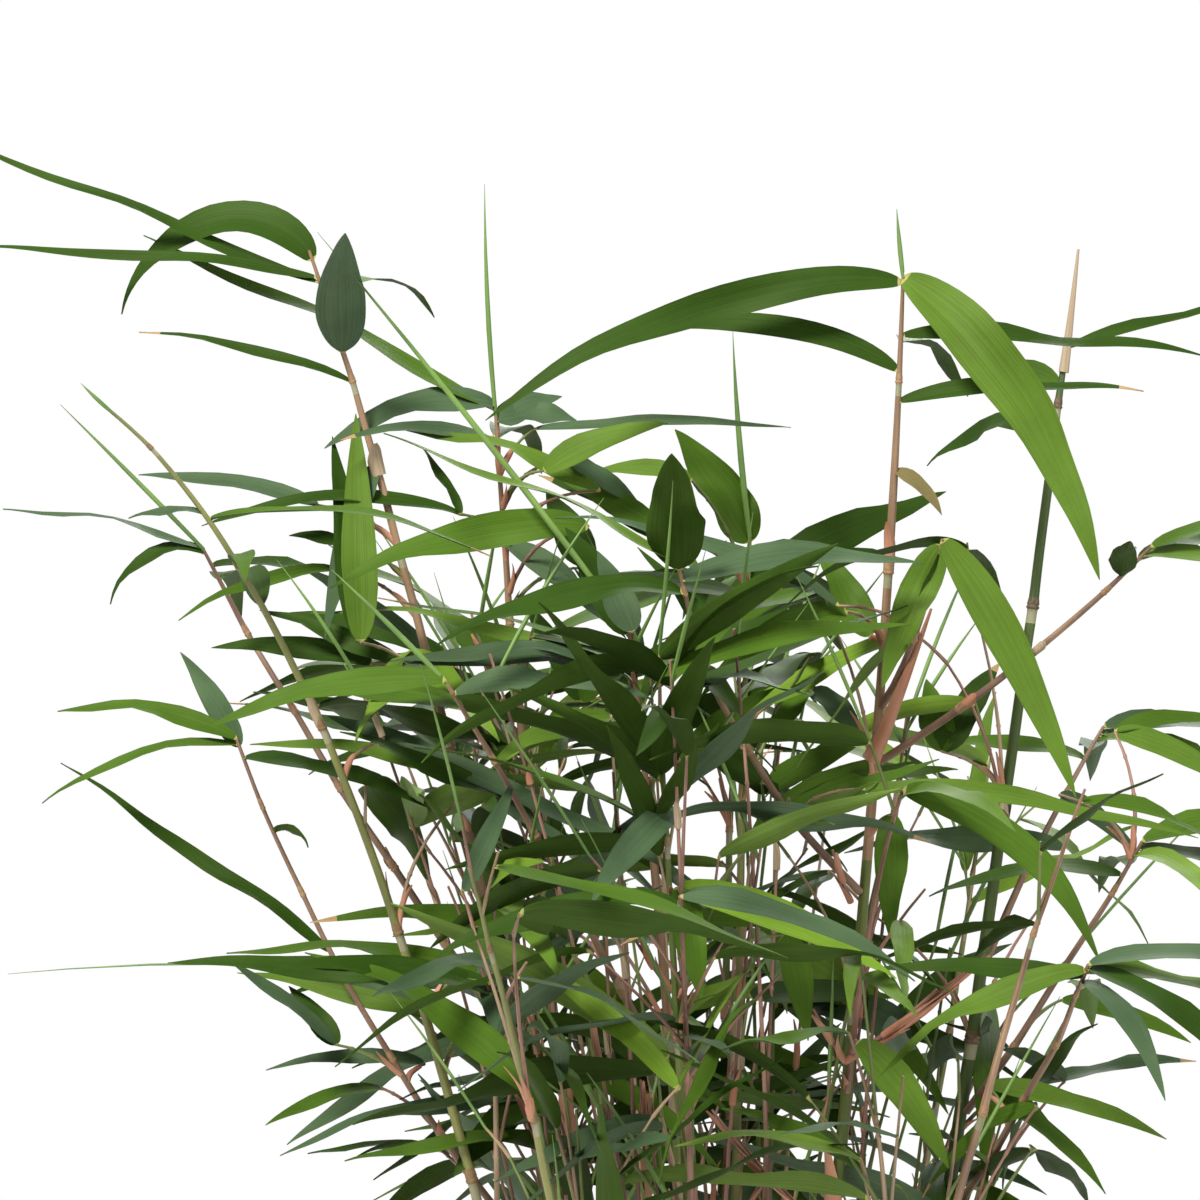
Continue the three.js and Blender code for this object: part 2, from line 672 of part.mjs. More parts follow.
// Masses: first every stem, then the single leaves, then branchlets, and then the leaves of the fans
const masses = [];
for (const limb of Object.values(limbs)) {
  const stem = partOfBow(limb.bow, shareBelow(limb.bow, limb.topLength - STEM_GAP), 1);
  const tipLeaves = TIP_LEAVES[limb.name] ?? [];
  const growth = tipLeaves.length ? { ...ON_TOP, fans: 0 } : ON_TOP;
  const mass = { name: "leaves_" + limb.name, stem, tipLeaves, growth, pieces: [] };
  if (!keep(mass, stemBody(stem))) throw new Error("a stem touches a limb: " + mass.name);
  masses.push(mass);
}
for (const [name, { from, share, tip }] of Object.entries(SIDE_SHOOTS)) {
  const mass = { name: "leaves_" + name, tipLeaves: TIP_LEAVES[name] ?? [], growth: ON_SHOOT, pieces: [] };
  const end = vector(tip);
  const kneeOf = (foot) => foot.clone().lerp(end, SHOOT_KNEE.share).add(vector([0, 0, SHOOT_KNEE.lift]));
  mass.stem = leave(limbs[from].bow, share, end, kneeOf, stemBody, mass);
  masses.push(mass);
}
for (const mass of masses) {
  for (const [below, ...shape] of mass.tipLeaves) {
    keep(mass, leafOn(mass.stem, Math.max(0, shareBelow(mass.stem, below)), shape).body);
  }
}
masses.forEach((mass, seed) => {
  const fans = fansOf(mass.stem, seed, mass.growth);
  mass.fans = fans.filter((fan) => keep(mass, branchletBody(fan.twig), fan, mass));
});
for (const mass of masses) {
  for (const fan of mass.fans) {
    let kept = 0;
    for (const { share, shape } of fan.leaves) {
      const { body, point } = leafOn(fan.twig, share, shape);
      if (kept < FAN.kept && insideCrown(point) && keep(mass, body, fan)) kept++;
    }
  }
}

function show(group, owner, material) {
  groups[group].add(meshOf(owner.name, oneBody(owner), material));
}

for (const name of Object.keys(CANES)) show("canes", limbs[name], materials.cane);
for (const name of Object.keys(BOUGHS)) show("boughs", limbs[name], materials.bough);
for (const mass of masses) show("foliage", mass, materials.leaves);

export default plant;
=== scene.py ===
import math
import random

import bpy
import numpy as np
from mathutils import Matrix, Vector


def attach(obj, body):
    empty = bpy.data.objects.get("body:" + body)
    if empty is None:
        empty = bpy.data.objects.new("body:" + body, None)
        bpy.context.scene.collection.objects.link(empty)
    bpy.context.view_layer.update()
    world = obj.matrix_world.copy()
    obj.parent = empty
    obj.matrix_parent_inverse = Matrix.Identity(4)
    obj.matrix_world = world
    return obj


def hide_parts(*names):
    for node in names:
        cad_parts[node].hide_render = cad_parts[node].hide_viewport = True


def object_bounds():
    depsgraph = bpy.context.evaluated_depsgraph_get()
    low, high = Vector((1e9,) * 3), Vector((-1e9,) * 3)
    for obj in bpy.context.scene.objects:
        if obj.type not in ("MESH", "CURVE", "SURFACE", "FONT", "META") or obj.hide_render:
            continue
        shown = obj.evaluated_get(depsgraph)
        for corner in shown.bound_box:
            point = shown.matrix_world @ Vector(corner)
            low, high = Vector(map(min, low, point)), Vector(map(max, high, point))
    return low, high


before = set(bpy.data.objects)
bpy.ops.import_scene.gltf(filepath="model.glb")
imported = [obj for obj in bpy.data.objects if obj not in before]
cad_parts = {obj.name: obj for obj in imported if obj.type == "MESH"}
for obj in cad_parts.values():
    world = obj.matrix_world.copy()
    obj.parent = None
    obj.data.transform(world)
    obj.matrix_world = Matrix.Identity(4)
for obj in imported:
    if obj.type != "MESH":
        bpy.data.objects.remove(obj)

CAD_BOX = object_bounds()

# A clump-forming bamboo in a nursery pot. Leaves and twigs grow by the rule of the part's source, carried on
# to finer twigs. Sizes are in millimetres until a mesh is made, and angles in degrees. A heading is 0 along
# +X and 90 along +Y, and a rise is 0 when level and 90 straight up. What varies from piece to piece is given
# as its least and its most.
MM = 0.001
SOIL_TOP = 160
TOP_LENGTH = 76
BOUGH_TOP_LENGTH = 30
JOINT_SPACING = 82

# Canes: foot, knee, tip, and the radii at the foot and where the leafy top starts
CANES = {
    "culm_01": ((-44, -22), (-112, -45, 566), (-210, -80, 648), (2.2, 1.2)),
    "culm_02": ((-26, 8), (-90, 10, 540), (-148, -10, 709), (2.3, 1.4)),
    "culm_03": ((-18, -2), (-69, 0, 440), (-82, 10, 655), (2.1, 1.3)),
    "culm_04": ((-3, 12), (-15, -10, 422), (-34, -40, 574), (2.3, 1.5)),
    "culm_05": ((17, -10), (57, -20, 501), (62, -40, 697), (2.6, 1.5)),
    "culm_06": ((50, 5), (100, 10, 476), (130, 20, 706), (3.1, 1.7)),
    "culm_07": ((0, -32), (-17, -55, 422), (-24, -95, 548), (2.0, 1.2)),
    "culm_08": ((5, 28), (5, 30, 440), (11, 25, 607), (2.1, 1.3)),
    "culm_09": ((-30, 32), (-72, 90, 430), (-100, 155, 550), (2.1, 1.2)),
    "culm_10": ((2, 48), (0, 110, 430), (15, 190, 590), (2.2, 1.2)),
    "culm_11": ((36, 38), (90, 100, 400), (112, 172, 508), (2.1, 1.2)),
    "culm_12": ((-20, -40), (-60, -110, 400), (-85, -180, 500), (2.0, 1.2)),
    "culm_13": ((30, -35), (75, -100, 400), (105, -165, 510), (2.0, 1.2)),
}
# Boughs: the limb that each leaves and at which share of it, knee, tip and the length of the leafy top
BOUGHS = {
    "bough_01": ("culm_05", 0.62, (106, -60, 562), (143, -80, 602), BOUGH_TOP_LENGTH),
    "bough_02": ("culm_05", 0.66, (66, -56, 566), (74, -60, 605), BOUGH_TOP_LENGTH),
    "bough_03": ("culm_05", 0.53, (-7, -60, 535), (-18, -90, 597), BOUGH_TOP_LENGTH),
    "bough_04": ("culm_06", 0.4, (114, -20, 440), (147, -30, 499), BOUGH_TOP_LENGTH),
    "bough_05": ("culm_06", 0.33, (112, -70, 425), (118, -110, 463), BOUGH_TOP_LENGTH),
    "bough_06": ("culm_06", 0.5, (118, 34, 498), (143, 44, 537), BOUGH_TOP_LENGTH),
    "bough_07": ("culm_02", 0.25, (-134, -10, 426), (-172, -30, 535), 100),
    "bough_08": ("culm_02", 0.4, (-145, 30, 516), (-191, 40, 603), BOUGH_TOP_LENGTH),
    "bough_09": ("culm_04", 0.55, (-62, -60, 498), (-96, -90, 557), BOUGH_TOP_LENGTH),
}
# Side shoots: the limb that each leaves and at which share of it, and tip
SIDE_SHOOTS = {
    "side_01": ("culm_01", 0.26, (-81, -60, 452)),
    "side_02": ("culm_02", 0.14, (-66, 52, 372)),
    "side_03": ("culm_09", 0.32, (-82, 72, 425)),
    "side_04": ("culm_09", 0.24, (-40, 102, 385)),
    "side_05": ("culm_10", 0.3, (12, 120, 420)),
    "side_06": ("culm_11", 0.22, (58, 105, 380)),
    "side_07": ("culm_11", 0.36, (112, 65, 430)),
    "side_08": ("culm_06", 0.2, (108, 15, 388)),
    "side_09": ("culm_13", 0.22, (92, -52, 372)),
    "side_10": ("culm_13", 0.34, (48, -102, 412)),
    "side_11": ("culm_07", 0.4, (-18, -140, 488)),
    "side_12": ("culm_12", 0.26, (-52, -88, 382)),
    "side_13": ("culm_05", 0.4, (58, -90, 520)),
    "side_14": ("culm_03", 0.5, (-76, 72, 526)),
}

# Leaves that stand out singly at a tip: millimetres below the tip, heading, rise, droop from base to point,
# length, width and roll
TIP_LEAVES = {
    "culm_01": [
        (42, 185, 12, 30, 26, 5, -30), (44, -5, 14, 40, 100, 7, 20), (70, 100, 30, 40, 75, 10, -20),
        (58, -80, 20, 50, 60, 9, 10), (0, 180, 40, -6, 14, 2.4, 0),
    ],
    "culm_02": [
        (4, 172, 58, 134, 92, 15, -60), (12, 178, 20, -4, 150, 5, -60), (10, 182, 10, 10, 128, 5, -60),
        (36, -88, 36, 10, 72, 18, 0), (46, 178, 24, 20, 80, 5, -45), (72, 200, -66, 14, 66, 11, -50),
        (16, 60, 30, 60, 85, 11, 20),
    ],
    "culm_03": [
        (2, 182, 29, 5, 142, 9, -35), (4, 176, 84, -6, 84, 3, 0), (0, 190, 12, 50, 66, 12, -50),
        (6, 10, 22, 40, 30, 12, 50), (12, 80, 20, 50, 90, 13, 10),
    ],
    "culm_04": [
        (2, 170, 66, 14, 44, 14, -75), (0, 181, 54, 4, 176, 4, -30), (12, 186, 12, 22, 86, 9, -40),
        (8, 175, 15, 6, 92, 5, -20), (16, -60, 20, 60, 80, 13, 10),
    ],
    "culm_05": [
        (2, 184, 4, 42, 158, 12.5, -68), (0, -20, -34, 42, 130, 19, 68), (32, 172, 34, 54, 116, 9, -62),
        (20, 8, 6, 18, 112, 7, 66), (42, -4, 14, 22, 86, 7, 55), (0, 150, 82, -4, 24, 2.5, 0),
        (64, -20, -16, 50, 24, 6, 50), (22, 70, 10, 40, 80, 11, 15),
    ],
    "culm_06": [
        (30, 4, 20, 10, 80, 5, 55), (60, 120, 20, 50, 85, 10, -62), (44, 110, 25, 40, 80, 8, -62),
    ],
    "culm_08": [
        (2, 174, 64, 14, 50, 18, -72), (0, 176, 82, -6, 76, 4, 0), (6, 4, 8, 18, 56, 9, 40),
        (16, 12, 30, 12, 84, 15, 55), (22, 178, 20, 40, 90, 12, -30), (30, 80, 25, 45, 90, 12, 0),
    ],
    "bough_01": [
        (14, -95, 30, 20, 34, 10, 0), (0, 5, 28, 50, 78, 9, 30), (4, -5, 6, 40, 78, 10, 30),
        (6, 35, 24, 40, 80, 9, 30),
    ],
    "bough_02": [
        (2, 196, -60, 12, 54, 13, -72), (0, -12, -54, 16, 100, 14, 66), (5, 200, -74, -10, 36, 7, 40),
        (8, 70, 20, 60, 85, 13, 10),
    ],
    "bough_03": [
        (0, 182, 29, 10, 108, 6, -30), (3, -96, 52, 10, 52, 20, 0), (7, 8, 20, 30, 84, 13, 40),
        (12, 200, 10, 40, 90, 12, -40),
    ],
    "bough_04": [
        (0, 0, 25, 40, 80, 12, 35), (3, 10, 0, 40, 80, 11, 30), (6, -60, 10, 60, 70, 10, 20),
        (10, 90, 15, 50, 75, 11, 0), (14, 180, 15, 40, 70, 10, -30),
    ],
    "bough_05": [
        (0, 5, 18, 40, 75, 10, 30), (2, -20, -10, 50, 75, 11, 30), (4, 15, 5, 40, 80, 12, 30),
        (6, 176, 8, 12, 70, 8, -50), (8, -60, -10, 50, 60, 9, 10), (12, 80, 10, 50, 75, 11, 0),
        (3, 185, -5, 40, 80, 10, -40),
    ],
    "bough_06": [
        (0, 0, 14, 40, 80, 12, 35), (3, 10, -4, 40, 80, 11, 30), (6, -30, 10, 60, 70, 10, 20),
        (10, 80, 15, 50, 75, 11, 0), (14, 170, 20, 30, 60, 9, -30),
    ],
    "bough_07": [
        (85, 180, 37, 4, 118, 6, -55), (36, -8, 36, 110, 16, 6, -30), (0, 178, 30, 40, 66, 8, -45),
        (3, 150, 60, 14, 42, 9, -70), (2, 184, 8, 46, 74, 5, -40), (7, -10, 2, 30, 70, 10, 30),
    ],
    "bough_08": [
        (0, 180, 22, 20, 76, 5, -25), (2, 178, 28, 104, 46, 7, -40), (0, 176, 46, 2, 76, 3, 0),
        (7, 10, 10, 40, 60, 9, 20), (13, 90, 20, 60, 75, 11, 0),
    ],
    "bough_09": [
        (0, 184, 6, 32, 82, 10, -58), (2, 172, 46, 4, 56, 3, 0), (6, -10, 20, 40, 70, 11, 40),
        (12, 150, 20, 40, 90, 12, -30),
    ],
    "side_01": [
        (0, 181, 8, 8, 112, 11, -40), (0, 180, 9, 15, 168, 1.8, 0), (4, 200, 24, 30, 80, 11, -40),
    ],
    "side_11": [
        (0, -5, 2, 40, 82, 11, 40), (4, 190, 10, 40, 84, 11, -40),
    ],
    "side_13": [
        (0, -8, -8, 62, 92, 13, 60), (4, -60, 20, 50, 70, 11, 20),
    ],
}

# Their tints, in the order of their rows: painted light and shade, a darker or lighter copy of one green for
# how shaded or lit each leaf is. A tip that isn't listed has its tints dealt out
TIP_TINTS = {
    "culm_02": ("shaded", "shaded", "shaded", "slate_sheen", "shaded", "slate_sheen", "mid"),
    "culm_03": ("mid", "mid", "slate_sheen", "slate_sheen", "mid"),
    "culm_04": ("shaded", "mid", "slate_sheen", "mid", "mid"),
    "culm_05": ("shaded", "fresh", "shaded", "shaded", "shaded", "mid", "dry", "mid"),
    "culm_06": ("shaded", "shaded", "mid"),
    "culm_08": ("mid", "mid", "shaded", "shaded", "shaded", "mid"),
    "bough_01": ("shaded", "mid", "fresh", "shaded"),
    "bough_02": ("fresh", "fresh", "mid", "mid"),
    "bough_03": ("fresh", "mid", "slate_sheen", "shaded"),
    "bough_07": ("shaded", "mid", "mid", "slate_sheen", "mid", "shaded"),
    "bough_08": ("slate_sheen", "shaded", "slate_sheen", "shaded", "mid"),
    "bough_09": ("mid", "mid", "slate_sheen", "mid"),
    "side_13": ("mid", "fresh"),
}

# Millimetres for each pixel of the photo, in the plane of the canes, and the pixel in its middle
PIXEL, MIDDLE = 0.36, 600
# Sprays whose leaves can be told apart in the photo: where they spring from, as the pixel across and down and
# the millimetres behind the plane of the canes, and for each leaf its point, as a pixel and the millimetres
# behind that, its droop, width, how far its face is turned to the photographed side, and its tint, which is
# painted light and shade: a darker or lighter copy of one green for how shaded or lit the leaf is
SPRAYS = [
    ((495, 443, 5), [(338, 442, -20, 40, 8, 35, "slate_sheen")]),
    ((600, 492, -10), [(397, 430, 10, 25, 8, 50, "fresh")]),
    ((672, 541, 0), [(540, 476, 15, 20, 10, 60, "shaded")]),
    ((693, 480, 0), [(585, 480, 15, 50, 7, 60, "fresh")]),
    ((590, 527, -30), [(332, 591, -20, 35, 13, 70, "mid")]),
    ((318, 505, -5), [(140, 477, 20, 20, 8, 45, "slate_sheen")]),
    ((460, 514, 0), [(201, 530, -15, 40, 7, 40, "shaded"), (423, 447, 10, 8, 5, 50, "shaded")]),
    ((361, 642, -20), [(331, 438, 25, 8, 12, 80, "shaded"), (356, 414, 20, 8, 13, 85, "fresh")]),
    ((345, 545, 0), [(288, 537, 0, 30, 6, 50, "shaded")]),
    ((506, 543, 5), [(628, 640, -20, 20, 10, 60, "slate_sheen")]),
    ((622, 673, -25), [(392, 674, -15, 40, 11, 60, "slate_sheen"), (310, 617, 20, 30, 6, 45, "fresh")]),
    ((372, 665, 0), [(215, 650, 20, 25, 9, 60, "shaded")]),
    ((337, 571, 10), [(178, 622, -20, 35, 6, 50, "mid")]),
    ((405, 668, -10), [(262, 612, 20, 15, 8, 60, "shaded")]),
    ((425, 652, 20), [(300, 568, 10, 12, 9, 60, "slate_sheen")]),
    ((512, 766, 0), [(452, 690, 10, 10, 9, 60, "shaded")]),
    ((612, 718, -40), [(490, 765, -20, 35, 9, 60, "fresh")]),
    ((462, 776, -30), [(253, 747, 15, 25, 7, 50, "fresh"), (330, 718, 30, 10, 10, 60, "slate_sheen")]),
    ((838, 607, -50), [(557, 521, -20, 35, 6, 50, "slate_sheen")]),
    ((870, 638, -30), [(815, 548, 15, 8, 13, 75, "mid")]),
    ((846, 612, -45), [(700, 700, -25, 40, 12, 70, "mid")]),
    ((790, 603, 20), [(648, 700, -10, 20, 12, 60, "shaded")]),
    ((680, 762, -50), [(775, 690, 10, 20, 9, 60, "mid")]),
    ((670, 738, -45), [(560, 737, -10, 25, 7, 60, "shaded")]),
    ((633, 632, -60), [(598, 552, 20, 8, 12, 75, "slate_sheen")]),
    ((862, 788, -60), [(1198, 842, -20, 20, 7, 60, "fresh")]),
    ((1058, 795, -20), [(1138, 858, 10, 30, 8, 55, "slate_sheen")]),
    ((943, 752, 10), [(926, 678, 15, 10, 13, 75, "mid"), (998, 662, 15, 10, 13, 75, "shaded")]),
    ((893, 815, -40), [(892, 940, -10, 8, 12, 75, "mid")]),
    ((1115, 732, -10), [(1228, 722, 10, 35, 7, 50, "mid"), (1240, 795, -10, 30, 10, 60, "fresh")]),
    ((575, 932, -20), [(310, 927, -20, 25, 9, 45, "mid"), (395, 938, 15, 20, 6, 30, "fresh")]),
    ((494, 972, -30), [(226, 953, -20, 20, 10, 45, "mid")]),
    ((465, 1028, -20), [(232, 975, 20, 15, 8, 50, "fresh"), (282, 968, 30, 15, 8, 50, "slate_sheen")]),
    ((336, 1045, -10), [(228, 962, -10, 12, 7, 45, "slate_sheen"), (290, 985, 10, 10, 9, 70, "shaded")]),
    ((425, 1064, 0), [(266, 1073, 10, 30, 7, 45, "slate_sheen")]),
    ((382, 1088, 10), [(265, 1126, -20, 30, 7, 45, "mid")]),
    ((530, 1098, -20), [(281, 1157, -20, 30, 8, 40, "slate_sheen"), (452, 1177, -20, 20, 12, 75, "shaded")]),
    ((597, 1154, -35), [(345, 1165, -10, 30, 10, 45, "mid")]),
    ((440, 1150, 20), [(305, 1156, 10, 20, 7, 30, "shaded")]),
    ((378, 742, -40), [(705, 888, -25, 15, 9, 50, "slate_sheen")]),
    ((395, 745, -20), [(606, 872, 10, 10, 8, 50, "slate_sheen")]),
    ((676, 888, -90), [(896, 980, -10, 25, 12, 70, "lit"), (700, 1000, -5, 8, 12, 75, "mid")]),
    ((790, 935, -60), [(621, 948, -10, 60, 7, 60, "mid"), (806, 1042, -8, 8, 11, 75, "mid")]),
    ((858, 1042, -70), [(948, 1170, -10, 25, 13, 70, "fresh")]),
    ((985, 1085, -30), [(1165, 1140, -10, 25, 9, 55, "fresh"), (1105, 1195, 15, 25, 9, 60, "mid")]),
    ((1040, 1085, 20), [(1195, 1062, 10, 25, 8, 40, "slate_sheen")]),
    ((1062, 1000, 0), [(1190, 1045, -10, 30, 9, 50, "mid")]),
    ((497, 420, 10), [(563, 398, 10, 30, 11, 60, "slate_sheen")]),
    ((545, 470, -15), [(667, 424, -10, 30, 11, 60, "fresh")]),
    ((535, 430, 10), [(792, 430, -20, 14, 4.4, 60, "slate_sheen")]),
    ((567, 457, -10), [(641, 508, 15, 15, 8, 60, "slate_sheen")]),
    ((585, 567, 25), [(545, 492, 10, 10, 14, 75, "shaded")]),
    ((770, 792, -20), [(690, 738, -10, 20, 12, 65, "shaded"), (858, 748, 10, 30, 11, 60, "mid")]),
    ((738, 700, 30), [(648, 742, 15, 25, 12, 60, "shaded"), (812, 660, -10, 30, 11, 60, "shaded")]),
    ((812, 690, 20), [(862, 740, -10, 40, 10, 60, "slate_sheen"), (770, 745, -15, 40, 10, 60, "mid")]),
    ((657, 527, -5), [(562, 482, 10, 15, 10, 60, "mid")]),
    ((580, 700, 20), [(520, 600, 10, 15, 11, 60, "shaded"), (640, 650, -10, 30, 10, 60, "mid")]),
    ((700, 640, 25), [(610, 700, -15, 35, 10, 55, "shaded"), (770, 585, 10, 20, 10, 55, "mid")]),
]

# Sheaths that stand out, broad or pale: the limb, its share, radius, length and heading
BROAD_SHEATHS = [("culm_05", 0.3, 3.0, 40, 200), ("culm_03", 0.42, 2.2, 32, -70)]
PALE_SHEATHS = [
    ("culm_02", 0.79, 2.2, 15, -60),
    ("culm_08", 0.5, 2.2, 26, 230),
    ("culm_04", 0.5, 2.2, 24, -40),
]
# Young twigs in orange sheaths: foot and tip, as a pixel and the millimetres behind the plane of the canes
SHEATHED_TWIGS = [
    ((846, 1062, -35), (985, 955, -50)),
    ((846, 1062, -35), (938, 990, -60)),
    ((846, 1062, -35), (958, 985, -30)),
    ((846, 1062, -35), (812, 1010, -50)),
    ((852, 903, -35), (832, 850, -45)),
    ((683, 1122, -60), (728, 1005, -70)),
    ((671, 992, -50), (628, 930, -55)),
    ((795, 1205, -70), (712, 1110, -80)),
    ((560, 1200, -30), (520, 1090, -40)),
    ((650, 1195, -50), (640, 1080, -55)),
]

# Growth: branchlets on a side shoot and on a top, as the share of the stem of the first and the last one,
# their count and their length
ON_SHOOT = (0.22, 0.965, 10, (28, 60))
ON_TOP = (0.15, 0.96, 5, (14, 36))
NO_GROWTH = (0, 0, 0, (0, 0))
# How a branchlet turns from its stem, and the last one, how it tilts, how steep it is at most, and how far
# its knee is lifted for its length
TURN, LAST_TURN, TILT = (20, 75), (-15, 15), (-20, 25)
STEEPEST_BRANCHLET, KNEE_LIFT = 75, 0.06
# A branchlet's fan of leaves: how many are tried and how far apart, how the first and the others spread,
# how they lift and droop, and their length, width for their length, and roll
FAN_TRIED, FAN_SPACING = 4, 0.13
FIRST_SPREAD, SPREAD, LIFT, DROOP = (-18, 18), (20, 80), (-38, 30), (4, 48)
LENGTH, SLIMNESS, ROLL = (62, 112), (0.12, 0.17), (-60, 60)
# How much of the branchlet's rise they take on, and up to which rise
RISE_TAKEN, STEEPEST_TAKEN = 0.4, 62
# Leaves still rolled up: how often the first and the others are, their lift, droop, length for that of an
# open leaf and width, and the width up to which a leaf is made as a rolled one
ROLLED_FIRST, ROLLED_ELSE = 0.2, 0.04
ROLLED_LIFT, ROLLED_DROOP, ROLLED_LENGTH, ROLLED_WIDTH = 35, 6, 0.8, 2.4
WIDEST_ROLLED = 4
# Finer twigs: how each grows, how many leaves are tried on a branchlet of it, how many twigs leave a joint,
# between which shares of the cane, their rise, length and radii, and where along them they have a joint
FINER = (0.5, 0.97, 2, (10, 24))
FINER_TRIED, FINER_AT_JOINT = 2, 2
FINER_FIRST, FINER_LAST = 0.34, 0.8
FINER_RISE, FINER_LENGTH, FINER_RADII, FINER_JOINT = (48, 70), (50, 95), (0.8, 0.45), 0.4
# The middle of the crown, which they fill
FINER_REACH, FINER_LOWEST, FINER_HIGHEST = 150, 270, 600

# Crown: height and reach where it is narrow, low down, and where it is wide, above, and where it ends
CROWN_CENTRE = (5, 0)
CROWN_LOW = (395, 172)
CROWN_HIGH = (590, 288)
CROWN_LOWEST = 205
# The crown's edge as the photo shows it, in the plane of the canes: its height across its width, and its
# left edge at each height
TOP_EDGE = (
    (-300, -206, -170, -141, -80, -8, 21, 46, 82, 100, 118, 172, 300),
    (552, 584, 620, 645, 656, 641, 620, 612, 598, 570, 541, 548, 540),
)
LEFT_EDGE = ((368, 440, 476, 526, 548, 598), (-160, -163, -177, -180, -236, -217))
VIEWPOINT = (-44, -1400, 584)
# How far past the solids' box a leaf's line may reach
BOX_SLACK = 2

# The share of leaves left out low down, where the photo shows the canes and the sky between the leaves:
# in front, behind, on the right, where it shows most, and in the highest part of what is low
OPEN_BELOW = 590
OPEN_FRONT, OPEN_BACK, OPEN_RIGHT, OPEN_HIGH = 0.46, 0.1, 0.38, 0.84
RIGHT_PART, HIGH_PART = 62, 528
# The leafy tops that are thinned in the same way, as they hang low in front
OPEN_TOPS = ("culm_12", "culm_13")
# How slim the leaves are low down: on the right, in front, and elsewhere
SLIM_RIGHT, SLIM_FRONT, SLIM_LOW = 0.75, 0.66, 0.82
FRONT_PART = -95

# Gaps where the photo shows the sky, in the plane of the canes: middle and reach, sideways and up
SKY_GAPS = [
    (-151, 490, 38, 27),
    (86, 561, 22, 19),
    (90, 530, 12, 9),
    (-60, 566, 12, 9),
    (10, 566, 12, 9),
    (-108, 572, 10, 9),
    (102, 440, 14, 10),
    (-122, 462, 12, 8),
    (140, 385, 20, 12),
]
# More of them, in pixels of the photo: middle and reach, across and down
GAPS_SEEN = (
    (905, 890, 56, 44),
    (1060, 770, 60, 40),
    (1075, 870, 60, 42),
    (1160, 1000, 60, 45),
    (1100, 1075, 50, 40),
    (250, 640, 60, 30),
    (715, 850, 42, 48),
    (640, 980, 26, 20),
    (1120, 640, 90, 60),
    (760, 1010, 24, 22),
)

# A leaf's middle line: how many places it has, those that mustn't show in a gap, the one that has to show
# below the crown's edge, and how its sway and droop set in along it
LEAF_PLACES = 25
SKY_STEPS, EDGE_STEP = (6, 11, 16, 20, 24), 14
SWAY_POWER, DROOP_POWER = 1.5, 0.8
# Where a blade has points along it, more of them on a long or wide one, and across it, for its half width
LEAF_SHARES = np.array([0, 0.012, 0.035, 0.075, 0.14, 0.23, 0.34, 0.46, 0.58, 0.7, 0.81, 0.9, 0.96, 1])
LEAF_ROWS = len(LEAF_SHARES)
HALF_STEPS = np.linspace(0, LEAF_ROWS - 1, 2 * LEAF_ROWS - 1)
LONG_LEAF_SHARES = np.interp(HALF_STEPS, np.arange(LEAF_ROWS), LEAF_SHARES)
LONG_FROM, WIDE_FROM = 85, 16
COLUMNS, WIDE_COLUMNS = (-1, -0.5, 0, 0.5, 1), (-1, -0.66, -0.33, 0, 0.33, 0.66, 1)
# How it widens and narrows again, its half width at least, what the stalk adds and how soon that fades
WIDEN_POWER, ROUND_POWER = 0.6, 0.8
LEAST_HALF, STALK_HALF, STALK_FADE = 0.14, 0.34, 60
# How far it sways and twists at most, and where it isn't twisted
MOST_SWAY, MOST_TWIST, UNTWISTED = 9, 26, 0.25
# How high its sides fold up from the midrib, for its half width, and how much of that is lost at the point
FOLD, FOLD_LOST = (0.08, 0.34), 0.55
# Its waves: their size, where they start, how many there are along it, how much it rises and twists with
# them, and how many ripples its edges have and how the two edges differ
WAVE, WAVE_START = (0.02, 0.09), (0, 6.3)
WAVES_ALONG, WAVE_LIFT, WAVE_TWIST = 8.5, 0.3, 260
RIPPLES, RIPPLES_APART = 14.5, 1.5
# Its thickness, what the base adds and how soon that fades, and the midrib for the rest
THICKNESS, BASE_THICKNESS, BASE_FADE, MIDRIB = 0.3, 0.35, 14, 1.5
# Its stalk: how far down the twig it starts, its size there for its own, and how much of the leaf it takes
STALK_DROP, STALK_ROOT, STALK_SHARE = 3, 0.4, 0.02
# How often the point of a leaf is dry, from where on, how often a whole leaf is, and below which height
DRY_POINTS, DRY_FROM = 0.07, (0.92, 0.955)
DRY_LEAVES, DRY_BELOW = 0.02, 400
# A leaf still rolled up: its places along the middle line, sides, most sway, its radius for its width, how
# its radius swells, that at its point and at its root, and the length of its pattern
ROLLED_PLACES = np.array([0, 2, 5, 9, 13, 17, 21, 24])
ROLLED_SIDES, ROLLED_SWAY, ROLLED_RADIUS = 6, 5, 0.32
ROLLED_LEAST, ROLLED_SWELL, ROLLED_START = 0.45, 0.55, 0.15
ROLLED_POINT, ROLLED_ROOT, ROLLED_PATTERN = 0.1, 0.4, 40
# The turns that are tried on a leaf that ends a stem, how short it gets, and how many are kept
TURNS_IN, TURNED_LENGTH, TURNED_KEPT = (60, -60, 105, -105, 150), 0.85, 2

# Twigs: rings and sides, and how far apart two rings are at least, as a share of the twig
TWIG_ROWS, TWIG_SIDES, STATIONS_APART = 7, 6, 1e-4
# A joint's half length, the shortest twig that has it whole, how it swells, and the step above it as a share
# of that half length and a swell
JOINT_HALF, SHORTEST_WHOLE, JOINT_SWELL, STEP_UP, STEP_SWELL = 1.1, 6, 1.42, 0.6, 1.08
# Radii at the foot and tip, rings and sides of those that differ
BRANCHLET_RADII, BRANCHLET_ROWS = (0.72, 0.42), 5
SHOOT_RADII, SHOOT_ROWS, SHOOT_SIDES = (1.15, 0.7), 10, 8
SPRAY_RADII, SPRAY_ROWS, SPRAY_JOINTS = (0.85, 0.5), 8, [0.5, 0.8]
